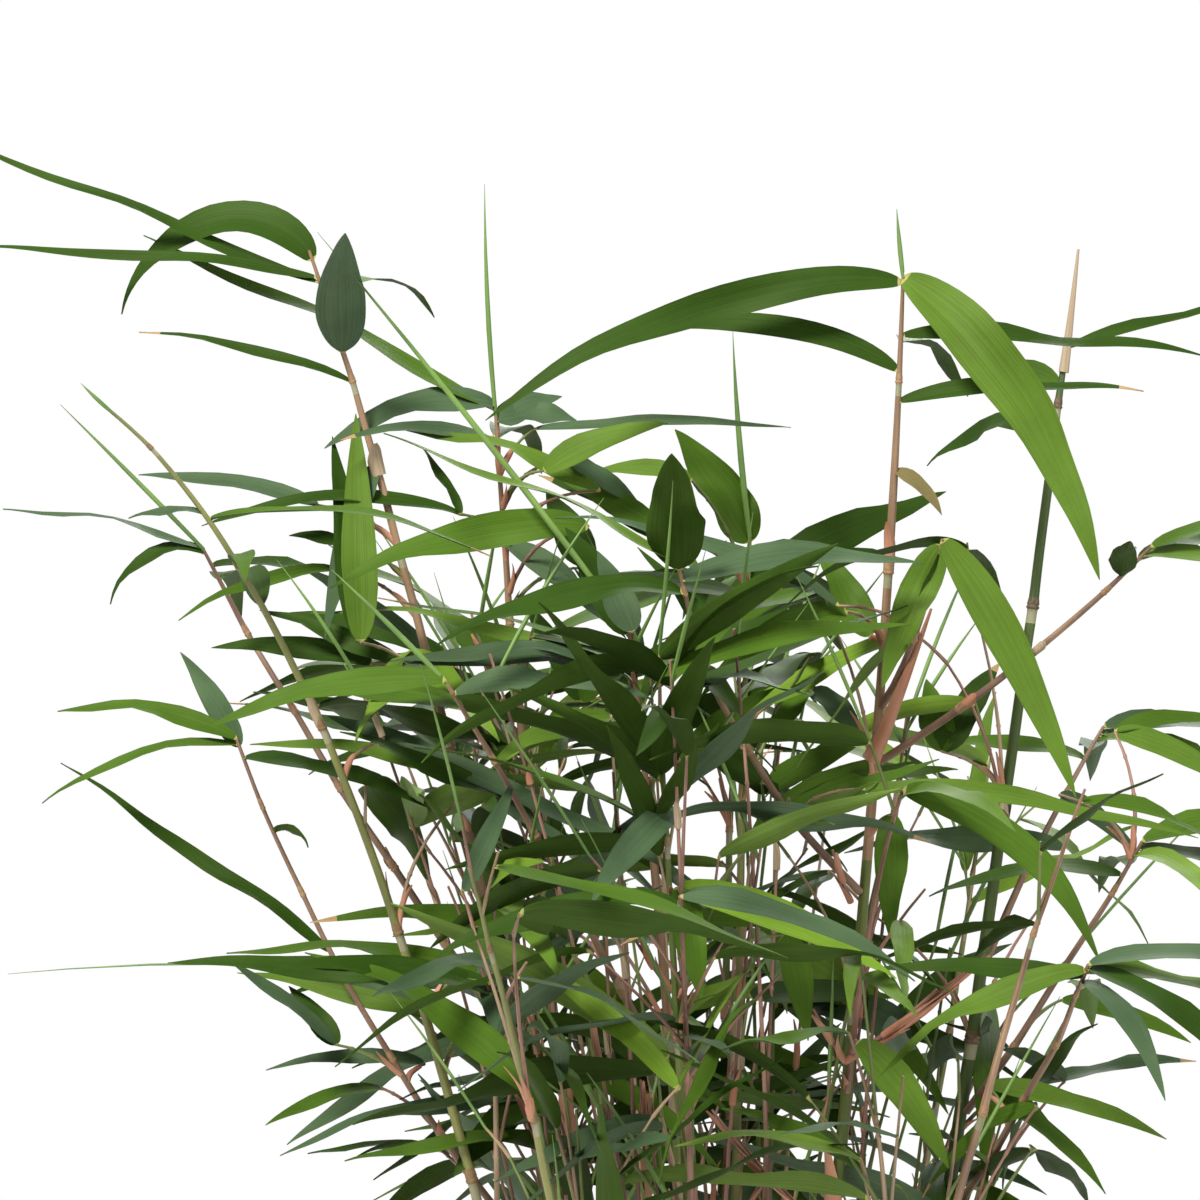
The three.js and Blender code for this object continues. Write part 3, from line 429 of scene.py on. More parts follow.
# Millimetres of wood and of sheath for each repeat of their pattern, and its repeats round a sheath
WOOD_PATTERN, SHEATH_PATTERN, PATTERNS_ROUND = 30, 20, 3
# Sheaths: points along and round, and the share of a limb at which they end at the latest
SHEATH_ROWS, SHEATH_SIDES, LIMB_END = 9, 12, 0.999
# How far they lean out for their length, how far round they reach at the foot, how much of that is lost at
# the point and how it goes, how wide they stand at the foot and how much wider at the point, and how far
# their outside and inside are from that
SHEATH_LEAN = (0.04, 0.2)
SHEATH_ROUND, SHEATH_LOST, SHEATH_POWER = 0.96, 0.88, 1.1
SHEATH_STAND, SHEATH_FLARE = 1.14, 0.22
SHEATH_OUTSIDE, SHEATH_INSIDE = 0.14, -0.02
# A twig's sheath: the share of the twig where it is, and its length on a finer twig and on a spray's
TWIG_SHEATH_AT = 0.02
FINER_SHEATH, SPRAY_SHEATH = (12, 26), (9, 16)

# Limbs: the radius at the very tip, how far off the bark a bough's foot stands, how far a mass's stem stands
# off its limb, a bough's radii, and the knee of a side shoot as a share and a lift
TIP_RADIUS, FOOT_GAP, STEM_GAP = 0.62, 0.2, 0.42
BOUGH_RADII = (1.5, 1.0)
SHOOT_KNEE, SHOOT_LIFT = 0.42, 30
# Joints: a bough's spacing for a cane's, the share of the last one, and how far from one the plain rings end
# and how far apart they are. A limb is a little kinked at each: how far, over which length and how soon fully
BOUGH_JOINTS, LAST_JOINT, JOINT_CLEAR, PLAIN_SPACING = 0.42, 0.97, 8, 9
KINK, KINK_LENGTH, KINK_RISE = 0.5, 14, 8
# The skin round a joint, a swollen one with a scar ring: millimetres above it, how it swells, and its slot
WOOD, RING, BLOOM, FRESH = 0, 1, 2, 3
AT_JOINT = (
    (-7, 1.0, BLOOM),
    (-3.0, 1.0, BLOOM),
    (-1.5, 1.05, RING),
    (-0.9, 1.3, RING),
    (-0.4, 1.32, RING),
    (0, 1.12, RING),
    (0.6, 1.24, RING),
    (1.4, 1.2, RING),
    (3.2, 1.04, WOOD),
    (7, 1.0, WOOD),
)
# How nearly level the cut at a cane's foot is
LEVEL_CUT = (0.001, 0.001, 1)
CANE_SIDES, BOUGH_SIDES = 12, 10
# Colours of the canes, tan where none is given, and the share of a cane up to which its skin is fresh green
CANE_TINTS = {
    "culm_01": "olive",
    "culm_06": "dark",
    "culm_07": "green",
    "culm_08": "olive",
    "culm_09": "olive",
    "culm_10": "green",
    "culm_11": "olive",
    "culm_12": "olive",
}
GREEN_FOOT = {"culm_02": 0.3, "culm_03": 0.35, "culm_04": 0.6, "culm_05": 0.55, "culm_13": 0.4}
# How often a joint keeps its sheath, up to which share of the limb, how often it is the red one, and its
# length on a cane and on a bough
SHEATH_OFTEN, LAST_SHEATH, RED_OFTEN = 0.45, 0.8, 0.5
CANE_SHEATH, BOUGH_SHEATH = (10, 24), (6, 11)

# Thin bare canes in the middle of the clump: how many, round which place and how far out, how they lean, how
# high they are, how far they turn as they rise, how far below the crown's edge they end at least, and their
# knee as shares of the height and lean
THIN_CANES, THIN_CENTRE, THIN_REACH = 64, (4, 0), (4, 56)
THIN_LEAN, THIN_HEIGHT, THIN_TURN, THIN_BELOW = (0.02, 0.26), (150, 420), 40, 40
THIN_KNEE, THIN_KNEE_LEAN = 0.55, 0.2
# Their joints: first, last and spacing, as shares; their radii at the foot and tip, how often a joint keeps
# its sheath, its radius and length, and the rise, droop and length of the rolled leaf near their tip
THIN_JOINTS, THIN_SPACING = (0.12, 0.95), (0.12, 0.17)
THIN_RADIUS, THIN_TIP = (0.75, 1.4), 0.5
THIN_ROWS, THIN_SIDES = 16, 8
THIN_SHEATH_OFTEN, THIN_SHEATH_RADIUS, THIN_SHEATH = 0.5, 0.95, (8, 26)
THIN_LEAF_AT, THIN_LEAF_RISE, THIN_LEAF_DROOP, THIN_LEAF = 0.98, 62, 10, (50, 80)

# The slots of a leaf, and tints, which are dealt out by spray. The tints are painted light and shade: darker
# and lighter copies of one green
UPPER, UNDER, STALK, DRY = 0, 1, 2, 3
LEAF_TINTS = ("shaded",) * 3 + ("mid",) * 3 + ("slate_sheen",) * 2 + ("fresh", "lit")
TWIG_TINTS = ("tan", "red", "green")
THIN_TINTS = ("tan", "red", "red", "green", "green")

# The first seed of each kind
LIMB_SEED, MASS_SEED, FINER_SEED, THIN_SEED = 500, 1000, 2000, 3000
SPRAY_SEED, SHEATH_SEED, YOUNG_SEED, SOIL_SEED = 4000, 5000, 6000, 7
# The seeds from one stem to the next, and from one cane's finer twigs to the next's
SEEDS_APART, CANE_SEEDS = 100, 10


class Seeded:
    """The random numbers of the part's source, which come out alike here."""

    START, STEP, MOST = 7919, 48271, 2147483647

    def __init__(self, seed):
        self.state = (seed * self.START) % (self.MOST - 1) + 1
        self.between(0, 1)

    def between(self, low, high):
        self.state = (self.state * self.STEP) % self.MOST
        return low + (high - low) * self.state / self.MOST


def vec(*values):
    return np.array(values, float)


def direction(heading, rise):
    """Unit vectors of headings and rises, which may be arrays."""
    heading, rise = np.radians(heading), np.radians(rise)
    return np.stack([np.cos(rise) * np.cos(heading), np.cos(rise) * np.sin(heading), np.sin(rise)], axis=-1)


def heading_of(way):
    return math.degrees(math.atan2(way[1], way[0]))


def rise_of(way):
    return math.degrees(math.atan2(way[2], math.hypot(way[0], way[1])))


def unit(vectors):
    return vectors / np.linalg.norm(vectors, axis=-1, keepdims=True)


def any_heading(look):
    return look.uniform(0, 360)


class Bow:
    """A bow from a foot to a tip, pulled towards a knee."""

    MEASURED_AT = np.linspace(0, 1, 201)

    def __init__(self, foot, knee, tip):
        self.foot, self.knee, self.tip = (np.asarray(p, float) for p in (foot, knee, tip))

    def at(self, share):
        s = np.asarray(share, float)[..., None]
        return (1 - s) ** 2 * self.foot + 2 * s * (1 - s) * self.knee + s**2 * self.tip

    def way(self, share):
        s = np.asarray(share, float)[..., None]
        return unit((1 - s) * (self.knee - self.foot) + s * (self.tip - self.knee))

    def length(self):
        points = self.at(self.MEASURED_AT)
        return float(np.linalg.norm(np.diff(points, axis=0), axis=1).sum())

    def share_below(self, distance):
        return 1 - distance / (2 * np.linalg.norm(self.tip - self.knee))

    def part(self, start, end):
        knee = (
            (1 - start) * (1 - end) * self.foot
            + (start * (1 - end) + end * (1 - start)) * self.knee
            + start * end * self.tip
        )
        return Bow(self.at(start), knee, self.at(end))


def leave(parent, share, tip, knee_of, reach):
    """The bow of a limb that leaves another at a share of its length, its foot on the bark."""
    axis, along = parent.at(share), parent.way(share)
    out = np.asarray(tip, float) - axis
    out = unit(out - np.dot(out, along) * along)
    foot = axis + reach * out
    return Bow(foot, knee_of(foot), tip)


# Where leaves may be
def seen(point):
    """Where a place shows in the plane of the canes, sideways and up."""
    depth = (point[1] - VIEWPOINT[1]) / -VIEWPOINT[1]
    return (
        VIEWPOINT[0] + (point[0] - VIEWPOINT[0]) / depth,
        VIEWPOINT[2] + (point[2] - VIEWPOINT[2]) / depth,
    )


def placed(across, down, behind):
    """The place that shows at a pixel of the photo and lies some way behind the plane of the canes."""
    scale = PIXEL * (behind - VIEWPOINT[1]) / -VIEWPOINT[1]
    x, z = VIEWPOINT[0] + (across - MIDDLE) * scale, VIEWPOINT[2] + (MIDDLE - down) * scale
    return vec(round(x), behind, round(z))


for across, down, wide, high in GAPS_SEEN:
    x, _, z = placed(across, down, 0)
    SKY_GAPS.append((x, z, round(PIXEL * wide), round(PIXEL * high)))


def under_edge(point):
    """Whether a place lies within the crown's edge, as seen from the photographed side."""
    x, z = seen(point)
    return z < np.interp(x, *TOP_EDGE) and x > np.interp(z, *LEFT_EDGE)


def in_sky_gap(point):
    x, z = seen(point)
    return any(((x - gap[0]) / gap[2]) ** 2 + ((z - gap[1]) / gap[3]) ** 2 < 1 for gap in SKY_GAPS)


def crosses_gap(line):
    """Whether a leaf along a line would show in a gap."""
    return any(in_sky_gap(line[step]) for step in SKY_STEPS)


def left_open(point, look):
    """Whether a leaf that ends at a point is left out."""
    if point[2] > OPEN_BELOW:
        return False
    chance = OPEN_FRONT if point[1] < 0 else OPEN_BACK
    if point[0] > RIGHT_PART:
        chance = OPEN_RIGHT
    elif point[2] > HIGH_PART:
        chance = OPEN_HIGH
    return look.random() < chance


def slimness(point):
    """How slim the leaves of a branchlet from a point are."""
    if point[2] > OPEN_BELOW:
        return 1
    if point[1] < FRONT_PART:
        return SLIM_FRONT
    return SLIM_RIGHT if point[0] > RIGHT_PART else SLIM_LOW


def inside_crown(point):
    spread = (point[2] - CROWN_LOW[0]) / (CROWN_HIGH[0] - CROWN_LOW[0])
    most = CROWN_LOW[1] + (CROWN_HIGH[1] - CROWN_LOW[1]) * min(max(spread, 0), 1)
    reach = math.hypot(point[0] - CROWN_CENTRE[0], point[1] - CROWN_CENTRE[1])
    return reach < most and point[2] > CROWN_LOWEST and under_edge(point)


def inside_finer(point):
    """Whether a place is in the middle of the crown, which the photo shows filled."""
    return math.hypot(point[0], point[1]) < FINER_REACH and FINER_LOWEST < point[2] < FINER_HIGHEST


LOWEST, HIGHEST = (np.array(corner) / MM for corner in CAD_BOX)


def in_box(point):
    return bool(np.all(point > LOWEST - BOX_SLACK) and np.all(point < HIGHEST + BOX_SLACK))


# Meshes
SMOOTH_BELOW = 75
# What keeps the side of an upright line from having no direction
NUDGE = vec(1e-9, 0, 0)


def wire(links, *steps):
    """Links nodes in turn: one, its output, another and its input."""
    for one, output, other, socket in steps:
        links.new(one.outputs[output], other.inputs[socket])


def add_object(name, data):
    obj = bpy.data.objects.new(name, data)
    bpy.context.scene.collection.objects.link(obj)
    return obj


class Piece:
    """Closed shapes gathered into one joined mesh."""

    def __init__(self):
        self.points, self.faces, self.slots, self.uvs = [], [], [], []
        self.count = 0

    def tube(self, rings, slots=None, uv_scale=(1, 1), across=None):
        """A closed skin over rings of as many points each, with a slot for each row and side. Its two halves
        are cut into triangles as mirror images."""
        rows, sides = rings.shape[:2]
        if across is None:
            across = np.linspace(0, 1, sides + 1)
        i, j = np.meshgrid(np.arange(rows - 1), np.arange(sides), indexing="ij")
        n = (j + 1) % sides
        corners = np.stack([i * sides + j, i * sides + n, (i + 1) * sides + n, (i + 1) * sides + j], axis=-1)
        along = np.linspace(0, uv_scale[1], rows)
        across = np.asarray(across) * uv_scale[0]
        marks_at = ((j, i), (j + 1, i), (j + 1, i + 1), (j, i + 1))
        uv = np.stack([np.stack([across[side], along[row]], axis=-1) for side, row in marks_at], axis=-2)
        if slots is None:
            slots = np.zeros((rows - 1, sides), int)
        first, second = slice(0, sides // 2), slice(sides // 2, sides)
        halves = [(first, (0, 1, 2)), (first, (0, 2, 3)), (second, (0, 1, 3)), (second, (1, 2, 3))]
        k = np.arange(1, sides - 1)
        cap = np.stack([0 * k, k, k + 1], axis=-1)
        faces = [corners[:, part, pick].reshape(-1, 3) for part, pick in halves]
        faces += [cap[:, ::-1], cap + (rows - 1) * sides]
        kinds = [slots[:, part].ravel() for part, _ in halves]
        kinds.append(np.repeat([slots[0, 0], slots[-1, 0]], len(k)))
        marks = [uv[:, part, pick].reshape(-1, 3, 2) for part, pick in halves]
        marks.append(np.zeros((2 * len(k), 3, 2)))
        self.points.append(rings.reshape(-1, 3))
        self.faces.append(np.concatenate(faces) + self.count)
        self.slots.append(np.concatenate(kinds))
        self.uvs.append(np.concatenate(marks))
        self.count += rows * sides

    def build(self, name, materials, slot, replaces=()):
        points = np.concatenate(self.points) * MM
        faces = np.concatenate(self.faces)
        mesh = bpy.data.meshes.new(name)
        mesh.vertices.add(len(points))
        mesh.vertices.foreach_set("co", points.astype(np.float32).ravel())
        mesh.loops.add(faces.size)
        mesh.loops.foreach_set("vertex_index", faces.astype(np.int32).ravel())
        mesh.polygons.add(len(faces))
        mesh.polygons.foreach_set("loop_start", np.arange(0, faces.size, 3, dtype=np.int32))
        mesh.polygons.foreach_set("material_index", np.concatenate(self.slots).astype(np.int32))
        mesh.update(calc_edges=True)
        layer = mesh.uv_layers.new(name="UVMap")
        layer.data.foreach_set("uv", np.concatenate(self.uvs).astype(np.float32).ravel())
        mesh.validate()
        mesh.shade_smooth()
        mesh.set_sharp_from_angle(angle=math.radians(SMOOTH_BELOW))
        for material in materials:
            mesh.materials.append(material)
        obj = add_object(name, mesh)
        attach(obj, "root")
        if replaces:
            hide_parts(*replaces)
        return obj


def rings_round(centres, ways, radii, sides):
    """Rings of points round a line, anticlockwise as seen from where it points."""
    right = unit(np.stack([ways[:, 1], -ways[:, 0], np.zeros(len(ways))], axis=-1) + NUDGE)
    up = np.cross(right, ways)
    turn = -2 * np.pi * np.arange(sides) / sides
    radii = np.broadcast_to(np.asarray(radii, float).reshape(len(ways), -1), (len(ways), sides))
    ring = np.cos(turn)[None, :, None] * right[:, None] + np.sin(turn)[None, :, None] * up[:, None]
    return centres[:, None] + radii[..., None] * ring


# One leaf piece for each tint: the painted steps of light and shade of one green, and dry leaves
leaf_pieces = {tint: Piece() for tint in ("shaded", "mid", "slate_sheen", "fresh", "lit", "dry")}
twig_pieces = {tint: Piece() for tint in TWIG_TINTS}
cane_pieces = {tint: Piece() for tint in ("olive", "tan", "dark", "green")}
boughs, rolled_leaves, sheaths, red_sheaths = Piece(), Piece(), Piece(), Piece()


# Leaves
def leaf_line(base, heading, rise, droop, length, sway=0.0):
    """The middle line of a leaf, bent down along its length."""
    steps = np.linspace(0, 1, LEAF_PLACES)
    ways = direction(heading + sway * steps**SWAY_POWER, rise - droop * steps**DROOP_POWER)
    hops = np.cumsum(ways[:-1] * length / (LEAF_PLACES - 1), axis=0)
    return steps, base + np.concatenate([np.zeros((1, 3)), hops])


def blade_width(share):
    return np.sin(np.pi * np.clip(share, 0, 1) ** WIDEN_POWER).clip(0) ** ROUND_POWER


def add_leaf(piece, base, root, shape, look):
    """A leaf as a thin closed blade on a stalk: wavy, folded along its midrib and rippled at its edges."""
    heading, rise, droop, length, width, roll = shape
    sway = look.uniform(-1, 1) * MOST_SWAY
    steps, line = leaf_line(base, heading, rise, droop, length, sway)
    share = LONG_LEAF_SHARES if length > LONG_FROM or width > WIDE_FROM else LEAF_SHARES
    centre = np.stack([np.interp(share, steps, line[:, axis]) for axis in range(3)], axis=-1)
    turned = heading + sway * share**SWAY_POWER
    way = direction(turned, rise - droop * share**DROOP_POWER)
    right = direction(turned - 90, np.zeros(len(share)))
    up = np.cross(right, way)
    twisted = roll + look.uniform(-MOST_TWIST, MOST_TWIST) * (share - UNTWISTED)
    least = LEAST_HALF + STALK_HALF * np.exp(-share * STALK_FADE)
    half = np.maximum(0.5 * width * blade_width(share), least)
    fold = look.uniform(*FOLD) * (1 - FOLD_LOST * share)
    wave, start = look.uniform(*WAVE), look.uniform(*WAVE_START)
    swing = wave * np.sin(np.pi * share) * np.sin(WAVES_ALONG * share + start)
    twist = np.radians(twisted + WAVE_TWIST * swing)[:, None]
    side = right * np.cos(twist) - up * np.sin(twist)
    face = up * np.cos(twist) + right * np.sin(twist)
    centre = centre + face * (WAVE_LIFT * length * swing)[:, None]
    thick = THICKNESS + BASE_THICKNESS * np.exp(-share * BASE_FADE)
    ring = []
    columns = WIDE_COLUMNS if width > WIDE_FROM else COLUMNS
    for across in columns + columns[-2:0:-1]:
        lower = len(ring) >= len(columns)
        ripples = RIPPLES + RIPPLES_APART * np.sign(across)
        ripple = wave * across**3 * np.sin(share * ripples + start)
        height = half * (fold * abs(across) + ripple)
        if lower:
            height = height - thick * (MIDRIB if across == 0 else 1)
        ring.append(centre + side * (across * half)[:, None] + face * height[:, None])
    rings = np.stack(ring, axis=1)
    foot = root + STALK_ROOT * (rings[:1] - rings[:1].mean(axis=1, keepdims=True))
    sides = rings.shape[1]
    slots = np.full((len(share), sides), UPPER)
    slots[:, sides // 2 :] = UNDER
    slots[share < STALK_SHARE] = STALK
    if look.random() < DRY_POINTS:
        slots[share > look.choice(DRY_FROM)] = DRY
    even = np.linspace(0, 1, sides // 2 + 1)
    piece.tube(np.concatenate([foot, rings]), slots, across=np.concatenate([even, even[-2::-1]]))


def add_rolled_leaf(base, root, shape, look):
    """A young leaf still rolled up: a needle that swells a little."""
    heading, rise, droop, length, width, _ = shape
    steps, line = leaf_line(base, heading, rise, droop, length, look.uniform(-ROLLED_SWAY, ROLLED_SWAY))
    share = steps[ROLLED_PLACES]
    swell = np.sin(np.pi * (ROLLED_START + (1 - ROLLED_START) * share))
    radii = ROLLED_RADIUS * width * (ROLLED_LEAST + ROLLED_SWELL * swell) * (1 - share**3) + ROLLED_POINT
    radii = np.concatenate([[ROLLED_ROOT], radii])
    centres = np.concatenate([root[None], line[ROLLED_PLACES]])
    ways = unit(np.gradient(centres, axis=0))
    rolled_leaves.tube(rings_round(centres, ways, radii, ROLLED_SIDES), uv_scale=(1, length / ROLLED_PATTERN))


def grow_leaf(bow, share, shape, tint, look):
    """A leaf at a share of a twig, its shape as heading, rise, droop, length, width and roll."""
    base = bow.at(share)
    root = bow.at(max(0.0, share - STALK_DROP / bow.length()))
    if shape[4] <= WIDEST_ROLLED:
        add_rolled_leaf(base, root, shape, look)
    elif look.random() < DRY_LEAVES and base[2] < DRY_BELOW:
        add_leaf(leaf_pieces["dry"], base, root, shape, look)
    else:
        add_leaf(leaf_pieces[tint], base, root, shape, look)


# Twigs and sheaths
def add_twig(piece, bow, start_radius, end_radius, joints=(), rows=TWIG_ROWS, sides=TWIG_SIDES):
    """A twig that swells at its joints."""
    stations = [(share, 1.0) for share in np.linspace(0, 1, rows)]
    gap = JOINT_HALF / max(bow.length(), SHORTEST_WHOLE)
    for joint in joints:
        stations += [(joint - gap, 1.0), (joint, JOINT_SWELL), (joint + STEP_UP * gap, STEP_SWELL)]
    stations = sorted((min(max(share, 0), 1), swell) for share, swell in stations)
    shares, swells = np.array(stations).T
    apart = np.concatenate([[True], np.diff(shares) > STATIONS_APART])
    shares, swells = shares[apart], swells[apart]
    radii = (start_radius + (end_radius - start_radius) * shares) * swells
    rings = rings_round(bow.at(shares), bow.way(shares), radii, sides)
    piece.tube(rings, uv_scale=(1, bow.length() / WOOD_PATTERN))


def add_sheath(piece, bow, share, radius, length, heading, look):
    """A papery sheath that wraps a stem above its joint and leans away at its point."""
    t = np.linspace(0, 1, SHEATH_ROWS)
    places = np.minimum(share + t * length / bow.length(), LIMB_END)
    centres, ways = bow.at(places), bow.way(places)
    out = direction(heading, 0)
    lean = look.uniform(*SHEATH_LEAN) * length
    centres = centres + (lean * t**3)[:, None] * out
    toward = unit(out - (ways @ out)[:, None] * ways)
    across = np.cross(ways, toward)
    width = np.pi * (SHEATH_ROUND - SHEATH_LOST * t**SHEATH_POWER)
    reach = radius * (SHEATH_STAND + SHEATH_FLARE * t)
    rings = []
    for spread, off in ((1, SHEATH_OUTSIDE), (-1, SHEATH_INSIDE)):
        turn = width[:, None] * np.linspace(-spread, spread, SHEATH_SIDES)[None]
        gap = (reach + off)[:, None]
        rings.append(
            centres[:, None]
            + (gap * np.cos(turn))[..., None] * toward[:, None]
            + (gap * np.sin(turn))[..., None] * across[:, None]
        )
    piece.tube(np.concatenate(rings, axis=1), uv_scale=(PATTERNS_ROUND, length / SHEATH_PATTERN))


def wrap(bow, share, radius, span, look, piece=red_sheaths):
    """A sheath whose length and heading are drawn."""
    add_sheath(piece, bow, share, radius, look.uniform(*span), any_heading(look), look)


def wrap_in_either(bow, share, radius, span, look):
    """A sheath of either colour."""
    wrap(bow, share, radius, span, look, red_sheaths if look.random() < RED_OFTEN else sheaths)


# Growth
def fan_leaves(draw, bow, tried):
    """The places of a fan's leaves: the first goes on along the branchlet, the others out to both sides."""
    side = 1 if draw.between(0, 1) < 0.5 else -1
    leaves = []
    for number in range(tried):
        share = 1 - FAN_SPACING * number
        way = bow.way(share)
        spread = draw.between(*FIRST_SPREAD) if number == 0 else side * draw.between(*SPREAD)
        lift = draw.between(*LIFT)
        droop = draw.between(*DROOP)
        length = draw.between(*LENGTH)
        width = length * draw.between(*SLIMNESS)
        roll = draw.between(*ROLL)
        rolled_up = draw.between(0, 1) < (ROLLED_FIRST if number == 0 else ROLLED_ELSE)
        heading = heading_of(way) + spread
        rise = RISE_TAKEN * min(rise_of(way), STEEPEST_TAKEN)
        side = -side
        open_leaf = (heading, rise + lift, droop, length, width, roll)
        rolled = (heading, rise + ROLLED_LIFT, ROLLED_DROOP, ROLLED_LENGTH * length, ROLLED_WIDTH, roll)
        leaves.append((share, rolled if rolled_up else open_leaf))
    return leaves


def fans_of(stem, seed, growth, tried):
    """Branchlets along a stem, turned out to alternate sides, the last one straight on."""
    first, last, count, span = growth
    fans = []
    for number in range(count):
        draw = Seeded(SEEDS_APART * seed + number)
        share = first + (last - first) * number / (count - 1)
        foot, way = stem.at(share), stem.way(share)
        side = 1 if number % 2 else -1
        turn = draw.between(*LAST_TURN) if number == count - 1 else side * draw.between(*TURN)
        tilt = draw.between(*TILT)
        length = draw.between(*span)
        out = direction(heading_of(way) + turn, min(STEEPEST_BRANCHLET, rise_of(way) + tilt))
        knee = foot + 0.5 * length * out + vec(0, 0, KNEE_LIFT * length)
        twig = Bow(foot, knee, foot + length * out)
        fans.append((share, twig, fan_leaves(draw, twig, tried)))
    return fans


def turned_in(twig, place, shape, allowed):
    """The leaves that end a stem whose own would leave the crown: turned until they stay inside."""
    heading, rise, droop, length, width, roll = shape
    shown = []
    for turn in TURNS_IN:
        turned = (heading + turn, rise, droop, TURNED_LENGTH * length, width, roll)
        line = leaf_line(twig.at(place), *turned[:4])[1]
        if allowed(line[-1]) and in_box(line[-1]) and not crosses_gap(line):
            shown.append((place, turned))
    return shown[:TURNED_KEPT]


def grow_fans(stem, seed, growth, look, tried=FAN_TRIED, allowed=inside_crown, thinned=True):
    """The branchlets of a stem with their leaves. Gives the shares of the stem that carry one."""
    joints = []
    fans = fans_of(stem, seed, growth, tried)
    for share, twig, leaves in fans:
        # Each branchlet's leaves take one painted step of light or shade, dealt out at random
        tint = look.choice(LEAF_TINTS)
        shown = []
        for place, shape in leaves:
            line = leaf_line(twig.at(place), *shape[:4])[1]
            leads = place == 1 and share == fans[-1][0]
            if thinned and (crosses_gap(line) or not leads and left_open(line[-1], look)):
                continue
            if allowed(line[-1]) and under_edge(line[EDGE_STEP]) and in_box(line[-1]):
                shown.append((place, shape))
        if not shown and share == fans[-1][0]:
            shown = turned_in(twig, *leaves[0], allowed)
        if not shown:
            continue
        wood = twig_pieces[look.choice(TWIG_TINTS)]
        add_twig(wood, twig, *BRANCHLET_RADII, [place for place, _ in shown[1:]], BRANCHLET_ROWS)
        slim = slimness(twig.foot)
        for place, (*bent, width, roll) in shown:
            grow_leaf(twig, place, (*bent, slim * width, roll), tint, look)
        joints.append(share)
    return joints


# Limbs, by name: the bow, the length of the leafy top and the radii
limbs = {}
for name, (foot, knee, tip, radii) in CANES.items():
    limbs[name] = (Bow(vec(*foot, SOIL_TOP), knee, tip), TOP_LENGTH, radii)


def is_cane(name):
    return name in CANES


def radius_at(name, share):
    """A limb's radius at a share of its length: the solid's taper, carried on to a thin tip."""
    bow, top, (start, end) = limbs[name]
    cut = bow.share_below(top)
    if share <= cut:
        return start + (end - start) * share / cut
    return end + (TIP_RADIUS - end) * (share - cut) / (1 - cut)


for name, (parent, share, knee, tip, top) in BOUGHS.items():
    reach = radius_at(parent, share) + FOOT_GAP
    limbs[name] = (leave(limbs[parent][0], share, tip, lambda foot: knee, reach), top, BOUGH_RADII)


def add_limb(piece, name, sides, seed):
    """The wood of a limb, jointed and a little kinked at its joints. Gives the shares of its joints."""
    bow, _, _ = limbs[name]
    look = random.Random(seed)
    length = bow.length()
    mm = 1 / length
    spacing = JOINT_SPACING * (1 if is_cane(name) else BOUGH_JOINTS)
    joints = [step * spacing / length for step in range(1, int(length / spacing) + 1)]
    joints = [joint for joint in joints if joint < LAST_JOINT]
    stations = [(share, 1.0, WOOD) for share in np.linspace(0, 1, int(length / PLAIN_SPACING))]
    for joint in joints:
        stations = [station for station in stations if abs(station[0] - joint) > JOINT_CLEAR * mm]
        stations += [(joint + above * mm, swell, slot) for above, swell, slot in AT_JOINT]
    stations = sorted(station for station in stations if 0 <= station[0] <= 1)
    shares = np.array([share for share, _, _ in stations])
    radii = np.array([radius_at(name, share) * swell for share, swell, _ in stations])
    kink = np.zeros(len(shares))
    for number, joint in enumerate(joints):
        side = 1 if number % 2 else -1
        kink += side * KINK * np.exp(-(((shares - joint) * length) / KINK_LENGTH) ** 2)
    across = direction(any_heading(look), 0)
    centres = bow.at(shares) + (kink * np.minimum(shares * KINK_RISE, 1))[:, None] * across
    ways = bow.way(shares)
    if is_cane(name):
        ways[0] = unit(ways[0] * vec(*LEVEL_CUT))
    slots = np.repeat(np.array([slot for _, _, slot in stations])[:-1, None], sides, axis=1)
    slots[(slots == WOOD) & (shares[:-1, None] < GREEN_FOOT.get(name, 0))] = FRESH
    piece.tube(rings_round(centres, ways, radii, sides), slots, uv_scale=(1, length / WOOD_PATTERN))
    return joints


for number, name in enumerate(limbs):
    look = random.Random(LIMB_SEED + number)
    if is_cane(name):
        joints = add_limb(cane_pieces[CANE_TINTS.get(name, "tan")], name, CANE_SIDES, number)
    else:
        joints = add_limb(boughs, name, BOUGH_SIDES, number)
    for joint in joints:
        if look.random() < SHEATH_OFTEN and joint < LAST_SHEATH:
            span = CANE_SHEATH if is_cane(name) else BOUGH_SHEATH
            wrap_in_either(limbs[name][0], joint, radius_at(name, joint), span, look)


def shoot_knee(foot, tip):
    return foot + SHOOT_KNEE * (vec(*tip) - foot) + vec(0, 0, SHOOT_LIFT)


# Masses, in the order of the source, so that their seeds are the same
stems = []
for name, (bow, top, _) in limbs.items():
    rows = TIP_LEAVES.get(name, [])
    growth = NO_GROWTH if rows else ON_TOP
    stems.append((name, bow.part(bow.share_below(top - STEM_GAP), 1), rows, growth))
for name, (parent, share, tip) in SIDE_SHOOTS.items():
    reach = radius_at(parent, share) + FOOT_GAP
    bow = leave(limbs[parent][0], share, tip, lambda foot: shoot_knee(foot, tip), reach)
    stems.append((name, bow, TIP_LEAVES.get(name, []), ON_SHOOT))

for number, (name, stem, rows, growth) in enumerate(stems):
    look = random.Random(MASS_SEED + number)
    tints = TIP_TINTS.get(name)
    for row, (below, *shape) in enumerate(rows):
        share = max(0.0, stem.share_below(below))
        grow_leaf(stem, share, shape, tints[row] if tints else look.choice(LEAF_TINTS), look)
    joints = grow_fans(stem, number, growth, look, thinned=growth != ON_TOP or name in OPEN_TOPS)
    if name in SIDE_SHOOTS:
        add_twig(twig_pieces[look.choice(TWIG_TINTS)], stem, *SHOOT_RADII, joints, SHOOT_ROWS, SHOOT_SIDES)

